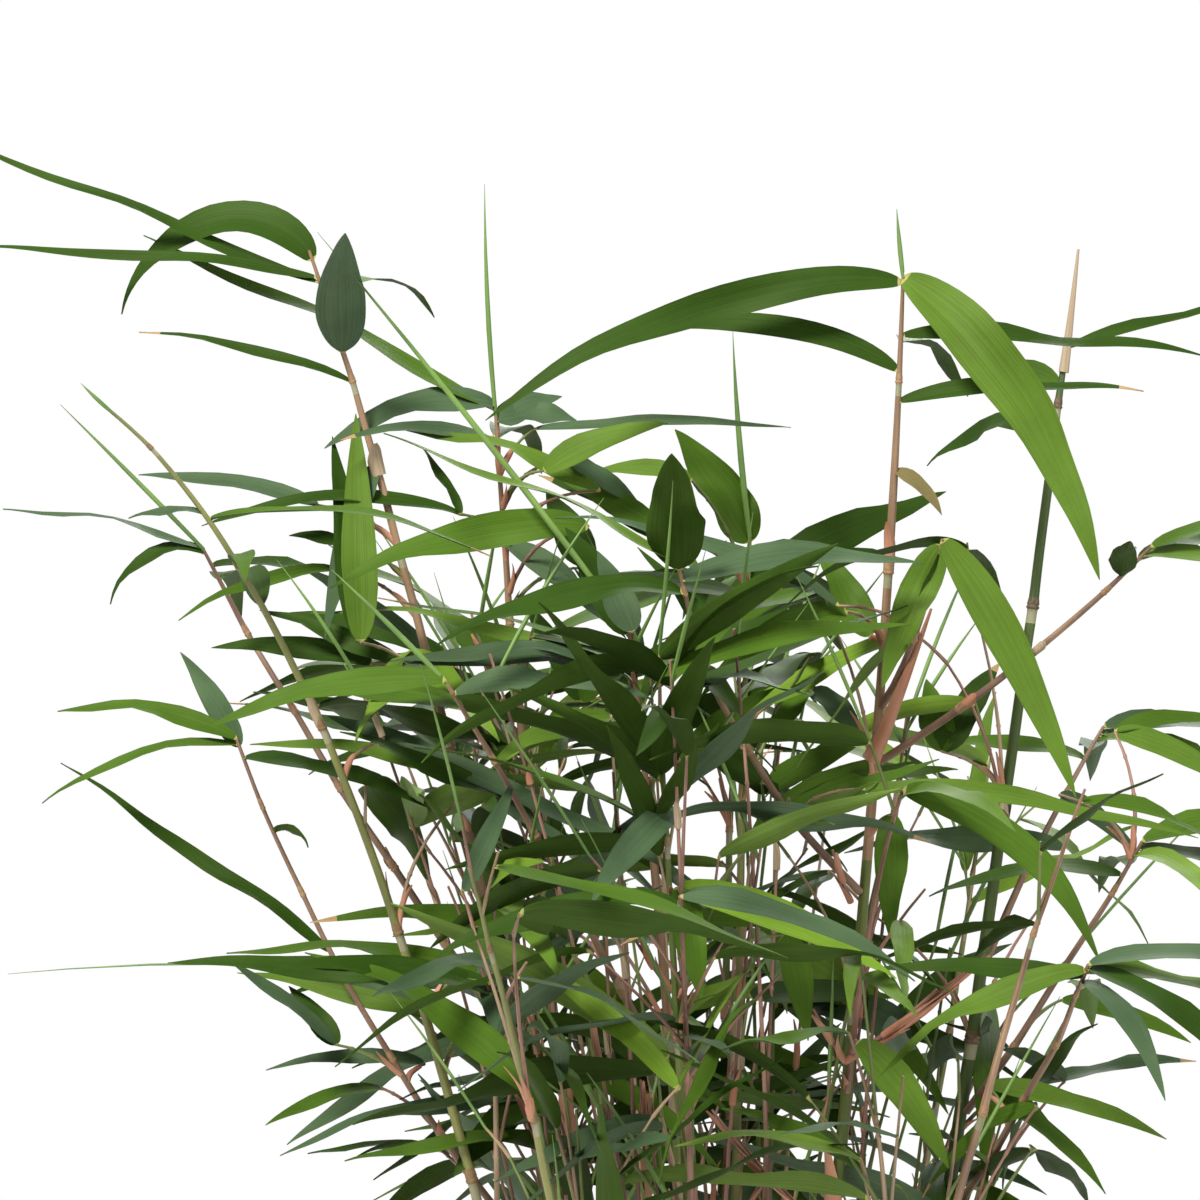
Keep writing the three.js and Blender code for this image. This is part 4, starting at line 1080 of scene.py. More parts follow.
# Finer twigs at the canes' joints, inside the crown that the solids reach
for number, name in enumerate(CANES):
    bow = limbs[name][0]
    look = random.Random(FINER_SEED + number)
    length = bow.length()
    for step in range(2, int(length / JOINT_SPACING) + 1):
        joint = step * JOINT_SPACING / length
        if not FINER_FIRST < joint < FINER_LAST:
            continue
        for branch in range(FINER_AT_JOINT):
            way = bow.way(joint)
            out = direction(any_heading(look), look.uniform(*FINER_RISE))
            reach = look.uniform(*FINER_LENGTH)
            foot = bow.at(joint)
            twig = Bow(foot, foot + 0.5 * reach * unit(out + way), foot + reach * out)
            seed = SEEDS_APART + CANE_SEEDS * number + FINER_AT_JOINT * step + branch
            joints = grow_fans(twig, seed, FINER, look, tried=FINER_TRIED, allowed=inside_finer)
            if not joints:
                continue
            add_twig(twig_pieces[look.choice(TWIG_TINTS)], twig, *FINER_RADII, joints + [FINER_JOINT])
            wrap(twig, TWIG_SHEATH_AT, FINER_RADII[0], FINER_SHEATH, look)


# Sprays told apart in the photo, each on a twig from the nearest limb below
LIMB_PLACES = np.linspace(0.12, 0.94, 60)
# How steeply such a twig rises at least, as a share of its length, and from which length it has joints
LEAST_RISE, JOINTS_FROM = 0.4, 20
# For a drooping leaf: how much shorter than its line the way to its point is, for the square of the droop in
# radians, and how far below its first rise that way goes, for the droop
DROOP_SHORTENS, DROOP_LOWERS = 0.038, 0.556


def limb_below(point):
    """The place on a limb from which a twig would rise to a point, and the way of the limb there."""
    best = None
    for bow, _, _ in limbs.values():
        for share in LIMB_PLACES:
            foot = bow.at(share)
            gap = float(np.linalg.norm(point - foot))
            if foot[2] < point[2] - LEAST_RISE * gap and (best is None or gap < best[0]):
                best = (gap, foot, bow.way(share))
    return best[1:]


def aimed(base, tip, droop, turned):
    """The heading, rise, length and roll of a leaf from a base to a tip, its face turned to the viewer."""
    chord = tip - base
    heading, rise = heading_of(chord), rise_of(chord)
    length = float(np.linalg.norm(chord)) / (1 - DROOP_SHORTENS * math.radians(droop) ** 2)
    right, toward = direction(heading - 90, 0), unit(vec(*VIEWPOINT) - base)
    up = np.cross(right, direction(heading, rise))
    best = math.degrees(math.atan2(np.dot(right, toward), np.dot(up, toward)))
    rolls = (best + 90 - turned, best - 90 + turned)
    roll = max(rolls, key=lambda angle: math.cos(math.radians(angle)))
    return heading, rise + DROOP_LOWERS * droop, length, roll


for number, (node, leaves) in enumerate(SPRAYS):
    look = random.Random(SPRAY_SEED + number)
    node = placed(*node)
    foot, way = limb_below(node)
    reach = float(np.linalg.norm(node - foot))
    twig = Bow(foot, foot + 0.5 * reach * unit(way + unit(node - foot)), node)
    joints = SPRAY_JOINTS if reach > JOINTS_FROM else []
    add_twig(twig_pieces[look.choice(TWIG_TINTS)], twig, *SPRAY_RADII, joints, SPRAY_ROWS)
    wrap(twig, TWIG_SHEATH_AT, SPRAY_RADII[0], SPRAY_SHEATH, look)
    for across, down, behind, droop, width, turned, tint in leaves:
        tip = placed(across, down, node[1] + behind)
        heading, rise, length, roll = aimed(node, tip, droop, turned)
        grow_leaf(twig, 1, (heading, rise, droop, length, width, roll), tint, look)

# Sheaths and sheathed twigs that stand out
for rows, piece in ((BROAD_SHEATHS, red_sheaths), (PALE_SHEATHS, sheaths)):
    for number, (name, share, radius, length, heading) in enumerate(rows):
        add_sheath(piece, limbs[name][0], share, radius, length, heading, random.Random(SHEATH_SEED + number))

# Young twigs sag a little for their length, and have two sheaths: their radii, and those of the sheaths with
# their shares of the twig and length for its own
SAG, YOUNG_RADII, YOUNG_SHEATH = 0.06, (0.8, 0.45), 0.95
YOUNG_SHEATHS_AT, YOUNG_SHEATH_LENGTH = (0.0, 0.42), 0.56
YOUNG_ROWS, YOUNG_SIDES = 14, 12
# Sheaths that stand off on their own, like a spear: foot, tip, radius at the foot and piece
STANDING_SHEATHS = (
    (placed(871, 759, -36), placed(930, 608, -50), 3.3, red_sheaths),
    (vec(125, 17.5, 667), vec(130.6, 19.5, 712), 1.9, sheaths),
)


def young_twig(piece, foot, tip, radius):
    twig = Bow(foot, 0.5 * (foot + tip) + vec(0, 0, -SAG * np.linalg.norm(tip - foot)), tip)
    add_twig(piece, twig, radius, YOUNG_RADII[1], rows=YOUNG_ROWS, sides=YOUNG_SIDES)
    return twig


for number, (foot, tip) in enumerate(SHEATHED_TWIGS):
    look = random.Random(YOUNG_SEED + number)
    twig = young_twig(twig_pieces["red"], placed(*foot), placed(*tip), YOUNG_RADII[0])
    length = YOUNG_SHEATH_LENGTH * twig.length()
    for share in YOUNG_SHEATHS_AT:
        add_sheath(red_sheaths, twig, share, YOUNG_SHEATH, length, any_heading(look), look)
for foot, tip, radius, piece in STANDING_SHEATHS:
    young_twig(piece, foot, tip, radius)

# Thin bare canes
for number in range(THIN_CANES):
    look = random.Random(THIN_SEED + number)
    turn, reach = any_heading(look), look.uniform(*THIN_REACH)
    foot = vec(*THIN_CENTRE, SOIL_TOP) + reach * direction(turn, 0)
    lean = look.uniform(*THIN_LEAN)
    height = look.uniform(*THIN_HEIGHT)
    turned = turn + look.uniform(-THIN_TURN, THIN_TURN)
    tip = foot + vec(0, 0, height) + lean * height * direction(turned, 0)
    if not under_edge(tip + vec(0, 0, THIN_BELOW)):
        continue
    knee = foot + vec(0, 0, THIN_KNEE * height) + THIN_KNEE_LEAN * lean * height * direction(turn, 0)
    cane = Bow(foot, knee, tip)
    joints = list(np.arange(*THIN_JOINTS, look.uniform(*THIN_SPACING)))
    tint = look.choice(THIN_TINTS)
    add_twig(twig_pieces[tint], cane, look.uniform(*THIN_RADIUS), THIN_TIP, joints, THIN_ROWS, THIN_SIDES)
    for joint in joints:
        if look.random() < THIN_SHEATH_OFTEN:
            wrap_in_either(cane, joint, THIN_SHEATH_RADIUS, THIN_SHEATH, look)
    heading = any_heading(look)
    shape = (heading, THIN_LEAF_RISE, THIN_LEAF_DROOP, look.uniform(*THIN_LEAF), ROLLED_WIDTH, 0)
    grow_leaf(cane, THIN_LEAF_AT, shape, "fresh", look)


# Materials
class Surface:
    """A material and the nodes that give it its look."""

    def __init__(self, name, colour, roughness, specular=0.5):
        self.material = bpy.data.materials.new(name)
        self.material.use_nodes = True
        self.material.diffuse_color = (*colour, 1)
        self.nodes, self.links = self.material.node_tree.nodes, self.material.node_tree.links
        self.shader = self.nodes["Principled BSDF"]
        self.shader.inputs["Base Color"].default_value = (*colour, 1)
        self.shader.inputs["Roughness"].default_value = roughness
        self.shader.inputs["Specular IOR Level"].default_value = specular

    def noise(self, scale, uv=True, detail=3.0):
        """Noise in the mesh's own pattern space or in the plant's, stretched by a scale on each axis."""
        place = self.nodes.new("ShaderNodeTexCoord")
        fit = self.nodes.new("ShaderNodeMapping")
        fit.inputs["Scale"].default_value = scale
        noise = self.nodes.new("ShaderNodeTexNoise")
        noise.inputs["Scale"].default_value = 1
        noise.inputs["Detail"].default_value = detail
        wire(self.links, (place, "UV" if uv else "Object", fit, "Vector"), (fit, "Vector", noise, "Vector"))
        return noise.outputs["Fac"]

    def blend(self, factor, low, high, start=0.3, end=0.7):
        """One colour below a value of a pattern and another above a second value."""
        ramp = self.nodes.new("ShaderNodeValToRGB")
        for stop, colour, place in zip(ramp.color_ramp.elements, (low, high), (start, end)):
            stop.position = place
            stop.color = (*colour, 1)
        self.links.new(factor, ramp.inputs["Fac"])
        return ramp.outputs["Color"]

    def paint(self, one, other=None, share=0.5):
        """One pattern as the colour, or two, of which the second has a share."""
        if other is not None:
            mix = self.nodes.new("ShaderNodeMix")
            mix.data_type = "RGBA"
            mix.inputs["Factor"].default_value = share
            self.links.new(one, mix.inputs["A"])
            self.links.new(other, mix.inputs["B"])
            one = mix.outputs["Result"]
        self.links.new(one, self.shader.inputs["Base Color"])

    def bump(self, height, strength, distance):
        bump = self.nodes.new("ShaderNodeBump")
        bump.inputs["Strength"].default_value = strength
        bump.inputs["Distance"].default_value = distance
        self.links.new(height, bump.inputs["Height"])
        self.links.new(bump.outputs["Normal"], self.shader.inputs["Normal"])

    def roughen(self, factor, low, high):
        span = self.nodes.new("ShaderNodeMapRange")
        span.inputs["To Min"].default_value = low
        span.inputs["To Max"].default_value = high
        self.links.new(factor, span.inputs["Value"])
        self.links.new(span.outputs["Result"], self.shader.inputs["Roughness"])


def tones(colour, factors):
    """A colour made darker or lighter by each factor."""
    return [tuple(min(1.0, channel * factor) for channel in colour) for factor in factors]


LEAF_SHEEN, SHEEN_TINT = 0.16, (0.85, 1, 0.55)
# Patterns of a leaf: how often they repeat, and how dark and light they are for its colour
VEINS, UNDER_VEINS, LEAF_CLOUDS = (30, 1.1, 1), (24, 1.1, 1), (38, 38, 38)
VEIN_TONES, CLOUD_TONES = (0.66, 1.32), (0.72, 1.26)
# Patterns of wood, bark and paper
WOOD_CLOUDS, DARKER, LIGHTER = (55, 55, 16), 0.5, 1.35
SKIN_STREAKS, BLOOM_STREAKS, RING_STREAKS, PAPER_STREAKS = (8, 0.6, 1), (8, 1, 1), (8, 3, 1), (9, 0.5, 1)
TWIG_STREAKS, BOUGH_STREAKS, ROLLED_STREAKS, STALK_STREAKS = (4, 1, 1), (6, 0.8, 1), (4, 0.8, 1), (3, 2, 1)
CHIP_STREAKS = (4, 4, 1)
DRY_ROUGHNESS = 0.7


def leaf_material(name, colour, roughness, veins=VEINS):
    """Leaf blade: fine veins from base to point, and cloudy shifts of colour between leaves."""
    surface = Surface(name, colour, roughness, LEAF_SHEEN)
    surface.shader.inputs["Specular Tint"].default_value = (*SHEEN_TINT, 1)
    fine = surface.noise(veins, detail=2.0)
    cloud = surface.noise(LEAF_CLOUDS, uv=False)
    streaks = surface.blend(fine, *tones(colour, VEIN_TONES))
    surface.paint(streaks, surface.blend(cloud, *tones(colour, CLOUD_TONES), start=0.34, end=0.68))
    surface.roughen(cloud, roughness - 0.06, roughness + 0.1)
    surface.bump(fine, strength=0.35, distance=0.0004)
    return surface.material


def streaked_material(name, colour, other, roughness, scale, strength=0.3, specular=0.4):
    """Wood, bark or paper: streaks that run along the piece, and light and dark patches."""
    surface = Surface(name, colour, roughness, specular)
    streak = surface.noise(scale)
    cloud = surface.noise(WOOD_CLOUDS, uv=False)
    along = surface.blend(streak, colour, other, start=0.35, end=0.65)
    dark, light = tones(colour, [DARKER]) + tones(other, [LIGHTER])
    surface.paint(along, surface.blend(cloud, dark, light, start=0.36, end=0.66), share=0.45)
    surface.roughen(cloud, roughness - 0.08, roughness + 0.12)
    surface.bump(streak, strength, distance=0.0003)
    return surface.material


# The leaf greens are painted light and shade, one green in steps: the darkest paints shade, the middle ones
# are steps between, the lightest paints light shining on and through the leaf, and the greyish one is partly
# the greyer green of an underside and partly a painted sheen of the sky. Dry is the colour of dead leaves
UPPER_COLOURS = {
    "shaded": (0.024, 0.06, 0.005),
    "mid": (0.056, 0.118, 0.01),
    "fresh": (0.086, 0.16, 0.018),
    "lit": (0.135, 0.24, 0.022),
    "slate_sheen": (0.06, 0.105, 0.05),
    "dry": (0.17, 0.14, 0.058),
}
# Undersides in the same painted steps of light and shade: the darker steps darker still than their tops
UNDER_COLOURS = {
    "shaded": (0.022, 0.047, 0.005),
    "mid": (0.037, 0.076, 0.009),
    "fresh": (0.085, 0.15, 0.032),
    "lit": (0.115, 0.19, 0.036),
    "slate_sheen": (0.085, 0.135, 0.075),
    "dry": (0.24, 0.19, 0.1),
}
stalk = streaked_material("leaf_stalk", (0.3, 0.33, 0.07), (0.42, 0.36, 0.12), 0.5, STALK_STREAKS)
dry_tip = leaf_material("dry_leaf_tip", (0.4, 0.27, 0.13), DRY_ROUGHNESS)
all_masses = ["leaves_" + name for name, *_ in stems]
# A piece, with blade and underside materials, for each painted step of light and shade, and one for dry
# leaves
for tint, piece in leaf_pieces.items():
    blade = leaf_material("leaf_" + tint, UPPER_COLOURS[tint], DRY_ROUGHNESS if tint == "dry" else 0.5)
    below = leaf_material(tint + "_underside", UNDER_COLOURS[tint], 0.56, UNDER_VEINS)
    replaced = all_masses if tint == "mid" else ()
    piece.build("leaves_" + tint, [blade, below, stalk, dry_tip], "leaves", replaced)

ROLLED_COLOURS = ((0.09, 0.19, 0.045), (0.17, 0.28, 0.06))
rolled_green = streaked_material("rolled_leaf", *ROLLED_COLOURS, 0.42, ROLLED_STREAKS)
rolled_leaves.build("rolled_leaves", [rolled_green], "leaves")

TWIG_COLOURS = {
    "tan": ((0.19, 0.115, 0.055), (0.46, 0.33, 0.22)),
    "red": ((0.1, 0.04, 0.028), (0.4, 0.225, 0.165)),
    "green": ((0.09, 0.14, 0.03), (0.19, 0.22, 0.07)),
}
for tint, piece in twig_pieces.items():
    bark = streaked_material("twig_" + tint, *TWIG_COLOURS[tint], 0.5, TWIG_STREAKS)
    piece.build("twigs_" + tint, [bark], "twig")

CANE_COLOURS = {
    "olive": ((0.14, 0.17, 0.045), (0.24, 0.23, 0.08)),
    "tan": ((0.15, 0.078, 0.042), (0.35, 0.225, 0.135)),
    "dark": ((0.035, 0.07, 0.018), (0.075, 0.11, 0.025)),
    "green": ((0.075, 0.115, 0.02), (0.14, 0.17, 0.045)),
}
RING_COLOURS = {
    "olive": ((0.3, 0.2, 0.09), (0.17, 0.1, 0.05)),
    "tan": ((0.25, 0.12, 0.06), (0.38, 0.25, 0.13)),
    "dark": ((0.025, 0.03, 0.018), (0.2, 0.13, 0.07)),
    "green": ((0.2, 0.12, 0.06), (0.3, 0.24, 0.12)),
}
cane_fresh = streaked_material("cane_foot", *CANE_COLOURS["green"], 0.34, SKIN_STREAKS)
cane_bloom = streaked_material("cane_bloom", (0.22, 0.22, 0.12), (0.33, 0.31, 0.2), 0.62, BLOOM_STREAKS)
for tint, piece in cane_pieces.items():
    skin = streaked_material("cane_" + tint, *CANE_COLOURS[tint], 0.42, SKIN_STREAKS)
    ring = streaked_material("joint_" + tint, *RING_COLOURS[tint], 0.6, RING_STREAKS)
    named = [name for name in CANES if CANE_TINTS.get(name, "tan") == tint]
    piece.build("canes_" + tint, [skin, ring, cane_bloom, cane_fresh], "cane", named)

BOUGH_COLOURS = ((0.12, 0.062, 0.042), (0.3, 0.19, 0.125))
bough_bark = streaked_material("bough_bark", *BOUGH_COLOURS, 0.48, BOUGH_STREAKS)
bough_ring = streaked_material("bough_joint", *RING_COLOURS["tan"], 0.6, RING_STREAKS)
boughs.build("side_boughs", [bough_bark, bough_ring, bough_bark], "twig", list(BOUGHS))

PAPER_COLOURS = ((0.56, 0.45, 0.33), (0.33, 0.24, 0.15))
SALMON_COLOURS = ((0.48, 0.165, 0.082), (0.5, 0.29, 0.2))
paper = streaked_material("papery_sheath", *PAPER_COLOURS, 0.75, PAPER_STREAKS, strength=0.5, specular=0.2)
salmon = streaked_material("salmon_sheath", *SALMON_COLOURS, 0.68, PAPER_STREAKS, strength=0.5, specular=0.25)
sheaths.build("papery_sheaths", [paper], "twig")
red_sheaths.build("salmon_sheaths", [salmon], "twig")

# Pot: a moulded nursery pot with a rolled rim, a stacking step, ribs under it and holes in its floor
POT_HEIGHT = 175
POT_FOOT, POT_MOUTH = 75, 97
POT_WALL = 1.8
POT_SIDES, POT_SMOOTH_BELOW = 288, 35
# Its profile, up the inside and down the outside: the height at which the wall's outside is measured, how
# far out from it, and the height. Before and after it come the floor's upper and under side
FLOOR_TOP, FLOOR_UNDER = [(0.5, 2.4), (40, 2.4)], [(40, 1.1), (0.5, 1.1)]
WALL_ROWS = [
    (2.4, -4, 2.4),
    (5, -POT_WALL, 5),
    (60, -POT_WALL, 60),
    (150, -POT_WALL, 150),
    (172, -POT_WALL, 172),
    (174, -1.2, 174.4),
    (175, 0.6, 175),
    (174, 2.2, 174.4),
    (173, 3.1, 172.8),
    (166, 3.2, 166),
    (160.5, 3.2, 160.5),
    (159.4, 2.6, 159.3),
    (159, 0.6, 159.0),
    (156, 0.1, 156),
    (140, 0, 140),
    (138.6, -0.2, 138.6),
    (137, -0.9, 137),
    (128, -0.9, 128),
    (90, -0.8, 90),
    (50, -0.6, 50),
    (20, -0.4, 20),
    (5, -0.1, 5),
    (1.6, -0.3, 1.6),
    (0, -1.2, 0.2),
    (0, -3.2, 0),
    (0, -5.4, 0.3),
    (0, -6.6, 1.1),
]
# Ribs: the rows of the whole profile that have them, their count and depth, and how steep and wide they are
RIB_ROWS, RIBS, RIB_DEPTH, RIB_STEEP, RIB_WIDE = range(18, 24), 24, 0.55, 3, 1.6
# Holes: how many, how far from the middle, their radius, and the depths that the drills reach
HOLES, HOLE_REACH, HOLE_RADIUS, HOLE_SIDES, DRILLED = 6, 55, 7, 24, (-3, 6)


def lathe(profile, sides, ripple=None):
    """Rings round +Z over a closed profile of radius and height."""
    turn = 2 * np.pi * np.arange(sides) / sides
    rings = []
    for row, (radius, height) in enumerate(profile):
        reach = np.full(sides, float(radius))
        if ripple is not None:
            reach = reach + ripple(row, turn)
        heights = np.full(sides, float(height))
        rings.append(np.column_stack([reach * np.cos(turn), reach * np.sin(turn), heights]))
    return np.array(rings)


def outer(height):
    return POT_FOOT + (POT_MOUTH - POT_FOOT) * height / POT_HEIGHT


def ribs(row, turn):
    """Shallow upright ribs moulded on the lower wall."""
    if row not in RIB_ROWS:
        return np.zeros(len(turn))
    return RIB_DEPTH * np.clip(np.cos(RIBS * turn) * RIB_STEEP - RIB_WIDE, 0, 1)


pot = Piece()
wall = [(outer(measured) + out, height) for measured, out, height in WALL_ROWS]
pot.tube(lathe(FLOOR_TOP + wall + FLOOR_UNDER, POT_SIDES, ribs)[:, ::-1])
plastic = Surface("moulded_plastic", (0.017, 0.018, 0.019), roughness=0.5, specular=0.45)
grain = plastic.noise((900, 900, 900), uv=False, detail=2.0)
scuffs = plastic.noise((22, 22, 60), uv=False, detail=6.0)
plastic.paint(plastic.blend(scuffs, (0.015, 0.016, 0.017), (0.034, 0.033, 0.031), start=0.45, end=0.8))
plastic.roughen(scuffs, low=0.4, high=0.66)
plastic.bump(grain, strength=0.18, distance=0.0002)
pot_object = pot.build("nursery_pot", [plastic.material], "pot", ["pot"])

drills = Piece()
for hole in range(HOLES):
    middle = HOLE_REACH * direction(hole * 360 / HOLES, 0)
    centres = np.array([middle + vec(0, 0, depth) for depth in DRILLED])
    upright = np.array([[1e-6, 0, 1.0]] * 2)
    drills.tube(rings_round(centres, upright, [HOLE_RADIUS] * 2, HOLE_SIDES))
mesh = bpy.data.meshes.new("drills")
points, faces = np.concatenate(drills.points) * MM, np.concatenate(drills.faces)
mesh.from_pydata(points.tolist(), [], faces.astype(int).tolist())
drill_object = add_object("drills", mesh)
cut = pot_object.modifiers.new("holes", "BOOLEAN")
cut.operation = "DIFFERENCE"
cut.solver = "EXACT"
cut.object = drill_object
bpy.context.view_layer.update()
done = bpy.data.meshes.new_from_object(pot_object.evaluated_get(bpy.context.evaluated_depsgraph_get()))
pot_object.modifiers.clear()
pot_object.data = done
bpy.data.objects.remove(drill_object)
done.shade_smooth()
done.set_sharp_from_angle(angle=math.radians(POT_SMOOTH_BELOW))

# Soil: an uneven crumbly surface that fills the pot, with crumbs, bark chips and perlite on it
rng = np.random.default_rng(SOIL_SEED)
SOIL_SIDES, SOIL_RINGS, SOIL_ROUGH = 160, np.linspace(0.99, 0.006, 48), 0.5
SOIL_REACH = outer(SOIL_TOP) - POT_WALL - 0.6
SOIL_SIDE = [
    (0.5, 3),
    (outer(3) - POT_WALL - 5, 3),
    (outer(4) - POT_WALL - 1, 4),
    (SOIL_REACH, SOIL_TOP - 3),
]
# The soil's swells: how high they are and how far they span, and the mound, by the square of its spread
BROAD_SWELL, BROAD_SPANS, NARROW_SWELL, NARROW_SPANS = 1.6, (17, 21), 1.1, (7.3, 6.1)
SOIL_SUNK, MOUND, MOUND_SPREAD = 1.2, 1.8, 2400


def soil_height(x, y):
    """The height of the soil, with broad and narrow swells and a low mound in the middle."""
    broad = BROAD_SWELL * np.sin(x / BROAD_SPANS[0] + 1) * np.cos(y / BROAD_SPANS[1])
    narrow = NARROW_SWELL * np.sin(x / NARROW_SPANS[0]) * np.sin(y / NARROW_SPANS[1] + 2)
    return SOIL_TOP - SOIL_SUNK + (broad + narrow) + MOUND * np.exp(-(x**2 + y**2) / MOUND_SPREAD)


soil = Piece()
top = [(SOIL_REACH * share, SOIL_TOP) for share in SOIL_RINGS]
rings = lathe(SOIL_SIDE + top, SOIL_SIDES)
level = rings[len(SOIL_SIDE) :]
rough = rng.normal(0, SOIL_ROUGH, level.shape[:2])
level[..., 2] = soil_height(level[..., 0], level[..., 1]) + rough
soil.tube(rings)
earth = Surface("potting_soil", (0.045, 0.028, 0.017), roughness=0.95, specular=0.2)
coarse = earth.noise((420, 420, 420), uv=False, detail=8.0)
patch = earth.noise((60, 60, 60), uv=False, detail=4.0)
dark = earth.blend(coarse, (0.014, 0.009, 0.006), (0.1, 0.062, 0.036), end=0.72)
damp = earth.blend(patch, (0.02, 0.013, 0.009), (0.07, 0.045, 0.028))
earth.paint(dark, damp, share=0.4)
earth.bump(coarse, strength=0.9, distance=0.0015)
soil.build("soil_surface", [earth.material], "soil", ["soil"])

CHIP_COLOURS = ((0.12, 0.06, 0.03), (0.24, 0.13, 0.07))
chip_bark = streaked_material("bark_chip", *CHIP_COLOURS, 0.85, CHIP_STREAKS, strength=0.6, specular=0.2)
perlite = Surface("perlite_grain", (0.7, 0.68, 0.63), roughness=0.9, specular=0.3)
pits = perlite.noise((1500, 1500, 1500), uv=False)
perlite.paint(perlite.blend(pits, (0.5, 0.48, 0.44), (0.8, 0.79, 0.75)))
perlite.bump(pits, strength=0.5, distance=0.0003)
# What lies on the soil: how many, their size, how long, wide and high they are for it, and the material
CRUMB_KINDS = {
    "soil_crumbs": (620, (1.0, 2.6), (1, 1, 0.8), earth.material),
    "bark_chips": (150, (2.2, 5.5), (1, 0.5, 0.28), chip_bark),
    "perlite_grains": (70, (0.9, 1.8), (1, 0.9, 0.8), perlite.material),
}
# The height and width of a crumb's rings, how uneven they are in width and height, how far it leans, and how
# far out crumbs lie and how deep they sink
CRUMB_RINGS, CRUMB_SIDES = ((-1, 0.35), (-0.5, 0.95), (0.35, 1), (1, 0.4)), 6
CRUMB_WIDTH, CRUMB_HEIGHT, CRUMB_LEAN = (0.75, 1.15), (0.8, 1.2), (-0.5, 0.5)
CRUMB_REACH, CRUMB_RAISED = SOIL_REACH - 4, 0.35
for name, (count, sizes, (long, wide, high), material) in CRUMB_KINDS.items():
    piece = Piece()
    for _ in range(count):
        away, turn = CRUMB_REACH * math.sqrt(rng.uniform(0, 1)), rng.uniform(0, 2 * np.pi)
        x, y = away * math.cos(turn), away * math.sin(turn)
        size = rng.uniform(*sizes)
        spin, lean = rng.uniform(0, 2 * np.pi), rng.uniform(*CRUMB_LEAN)
        rows = []
        for height, width in CRUMB_RINGS:
            turns = np.arange(CRUMB_SIDES) * np.pi / (CRUMB_SIDES / 2) + spin
            width = width * rng.uniform(*CRUMB_WIDTH, CRUMB_SIDES)
            spot = np.stack([long * width * np.cos(turns), wide * width * np.sin(turns)], axis=-1)
            lift = high * height * rng.uniform(*CRUMB_HEIGHT, CRUMB_SIDES) + lean * spot[:, 0]
            rows.append(np.column_stack([spot, lift]) * size)
        place = vec(x, y, float(soil_height(x, y)) + CRUMB_RAISED * high * size)
        piece.tube(np.array(rows) + place)
    piece.build(name, [material], "soil")

# Floor, light and camera, in metres
FLOOR_RADIUS, FLOOR_SIDES, FLOOR_DROP = 2, 64, 0.0005
FADE_FROM, FADE_TO = 0.7, 1.9
FLOOR_COLOUR, FLOOR_ROUGHNESS = (0.86, 0.86, 0.85), 0.8
SOFT_COLOUR, SOFT_STRENGTH = (1, 0.985, 0.95), 0.46
# Lamps: place, what they point at, size, power and colour
LAMPS = {
    "key": ((-0.9, -1.5, 2.3), (0, 0, 0.5), 0.7, 87, (1, 0.98, 0.93)),
    "fill": ((1.6, -1.3, 1.3), (0, 0, 0.45), 1.4, 14, (0.98, 0.99, 1)),
    "back": ((0.5, 1.8, 1.9), (0, 0, 0.5), 1.2, 30, (1, 1, 1)),
}
SENSOR, LENS, NEAREST = 36, 116.67, 0.05


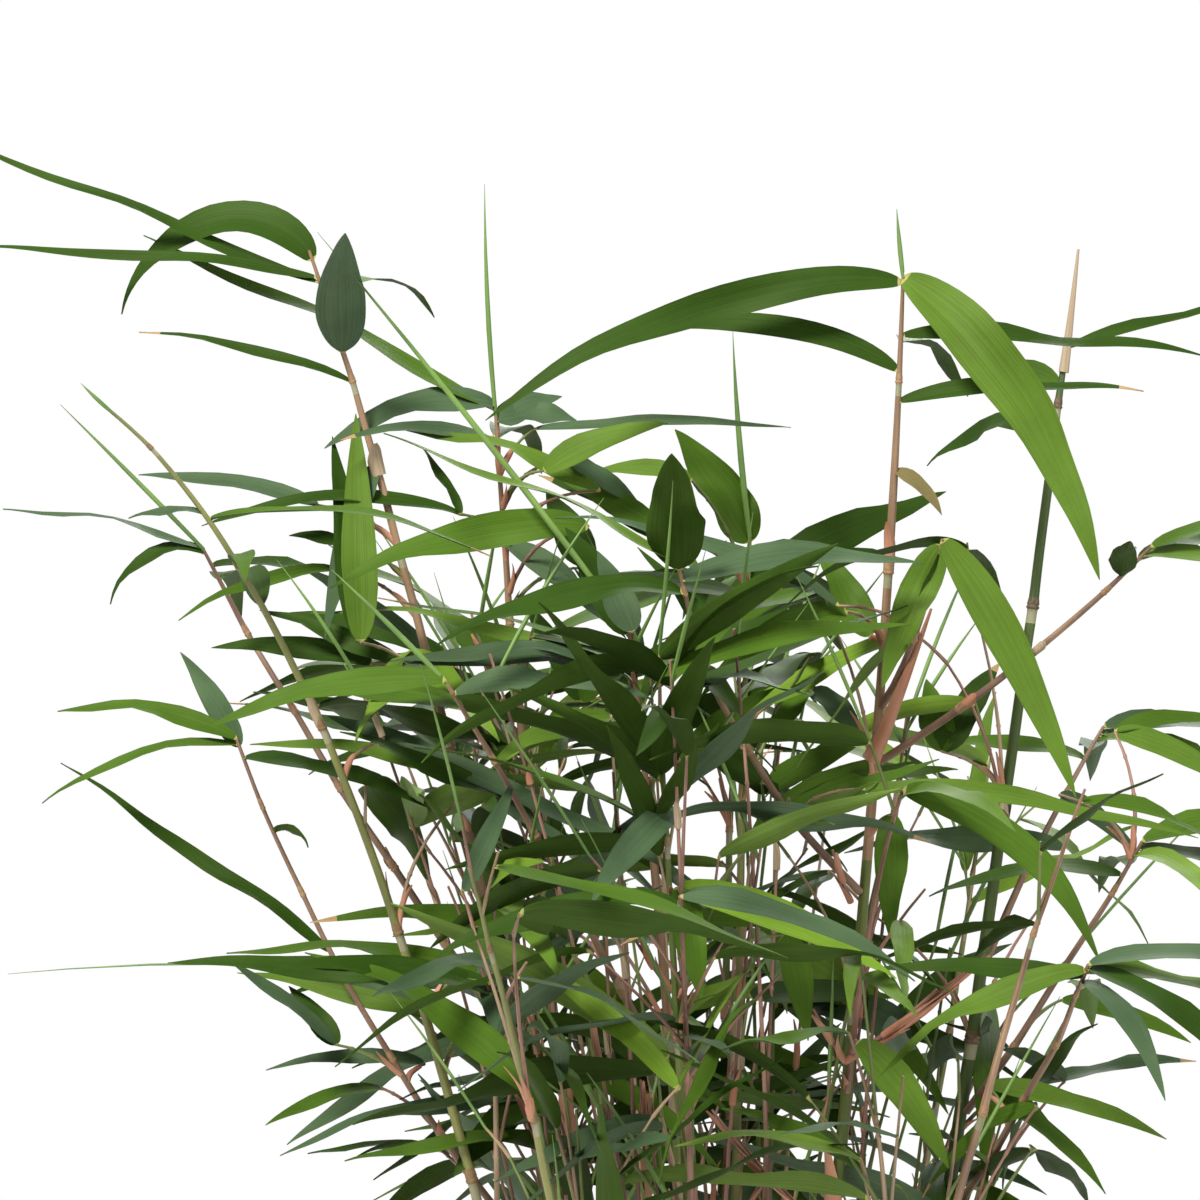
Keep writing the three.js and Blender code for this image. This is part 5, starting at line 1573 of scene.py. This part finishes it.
def fading_floor():
    """A pale floor that fades out towards its edge."""
    pale = Surface("pale_floor", FLOOR_COLOUR, FLOOR_ROUGHNESS)
    place = pale.nodes.new("ShaderNodeTexCoord")
    away = pale.nodes.new("ShaderNodeVectorMath")
    away.operation = "LENGTH"
    span = pale.nodes.new("ShaderNodeMapRange")
    span.inputs["From Min"].default_value = FADE_FROM
    span.inputs["From Max"].default_value = FADE_TO
    clear = pale.nodes.new("ShaderNodeBsdfTransparent")
    mix = pale.nodes.new("ShaderNodeMixShader")
    wire(pale.links, (place, "Object", away, 0), (away, "Value", span, "Value"), (span, "Result", mix, "Fac"))
    wire(pale.links, (pale.shader, "BSDF", mix, 1), (clear, "BSDF", mix, 2))
    wire(pale.links, (mix, "Shader", pale.nodes["Material Output"], "Surface"))
    return pale.material


mesh = bpy.data.meshes.new("floor")
turns = 2 * np.pi * np.arange(FLOOR_SIDES) / FLOOR_SIDES
edge = [(FLOOR_RADIUS * math.cos(turn), FLOOR_RADIUS * math.sin(turn), -FLOOR_DROP) for turn in turns]
mesh.from_pydata(edge, [], [list(range(FLOOR_SIDES))])
mesh.materials.append(fading_floor())
floor = add_object("floor", mesh)

world = bpy.data.worlds.new("studio")
bpy.context.scene.world = world
world.use_nodes = True
nodes, links = world.node_tree.nodes, world.node_tree.links
soft = nodes["Background"]
soft.inputs["Color"].default_value = (*SOFT_COLOUR, 1)
soft.inputs["Strength"].default_value = SOFT_STRENGTH
backdrop = nodes.new("ShaderNodeBackground")
backdrop.inputs["Color"].default_value = (1, 1, 1, 1)
backdrop.inputs["Strength"].default_value = 1.0
rays = nodes.new("ShaderNodeLightPath")
mix = nodes.new("ShaderNodeMixShader")
wire(links, (rays, "Is Camera Ray", mix, "Fac"), (mix, "Shader", nodes["World Output"], "Surface"))
wire(links, (soft, "Background", mix, 1), (backdrop, "Background", mix, 2))

for name, (place, target, size, power, colour) in LAMPS.items():
    light = bpy.data.lights.new(name, "AREA")
    light.shape = "DISK"
    light.size = size
    light.energy = power
    light.color = colour
    lamp = add_object(name, light)
    lamp.location = place
    lamp.rotation_euler = (Vector(target) - Vector(place)).to_track_quat("-Z", "Y").to_euler()

camera = bpy.data.cameras.new("camera")
camera.sensor_width = SENSOR
camera.lens = LENS
camera.clip_start = NEAREST
camera_object = add_object("camera", camera)
camera_object.location = [MM * axis for axis in VIEWPOINT]
camera_object.rotation_euler = (math.radians(90), 0, 0)
bpy.context.scene.camera = camera_object
bpy.context.scene.view_settings.view_transform = "Standard"
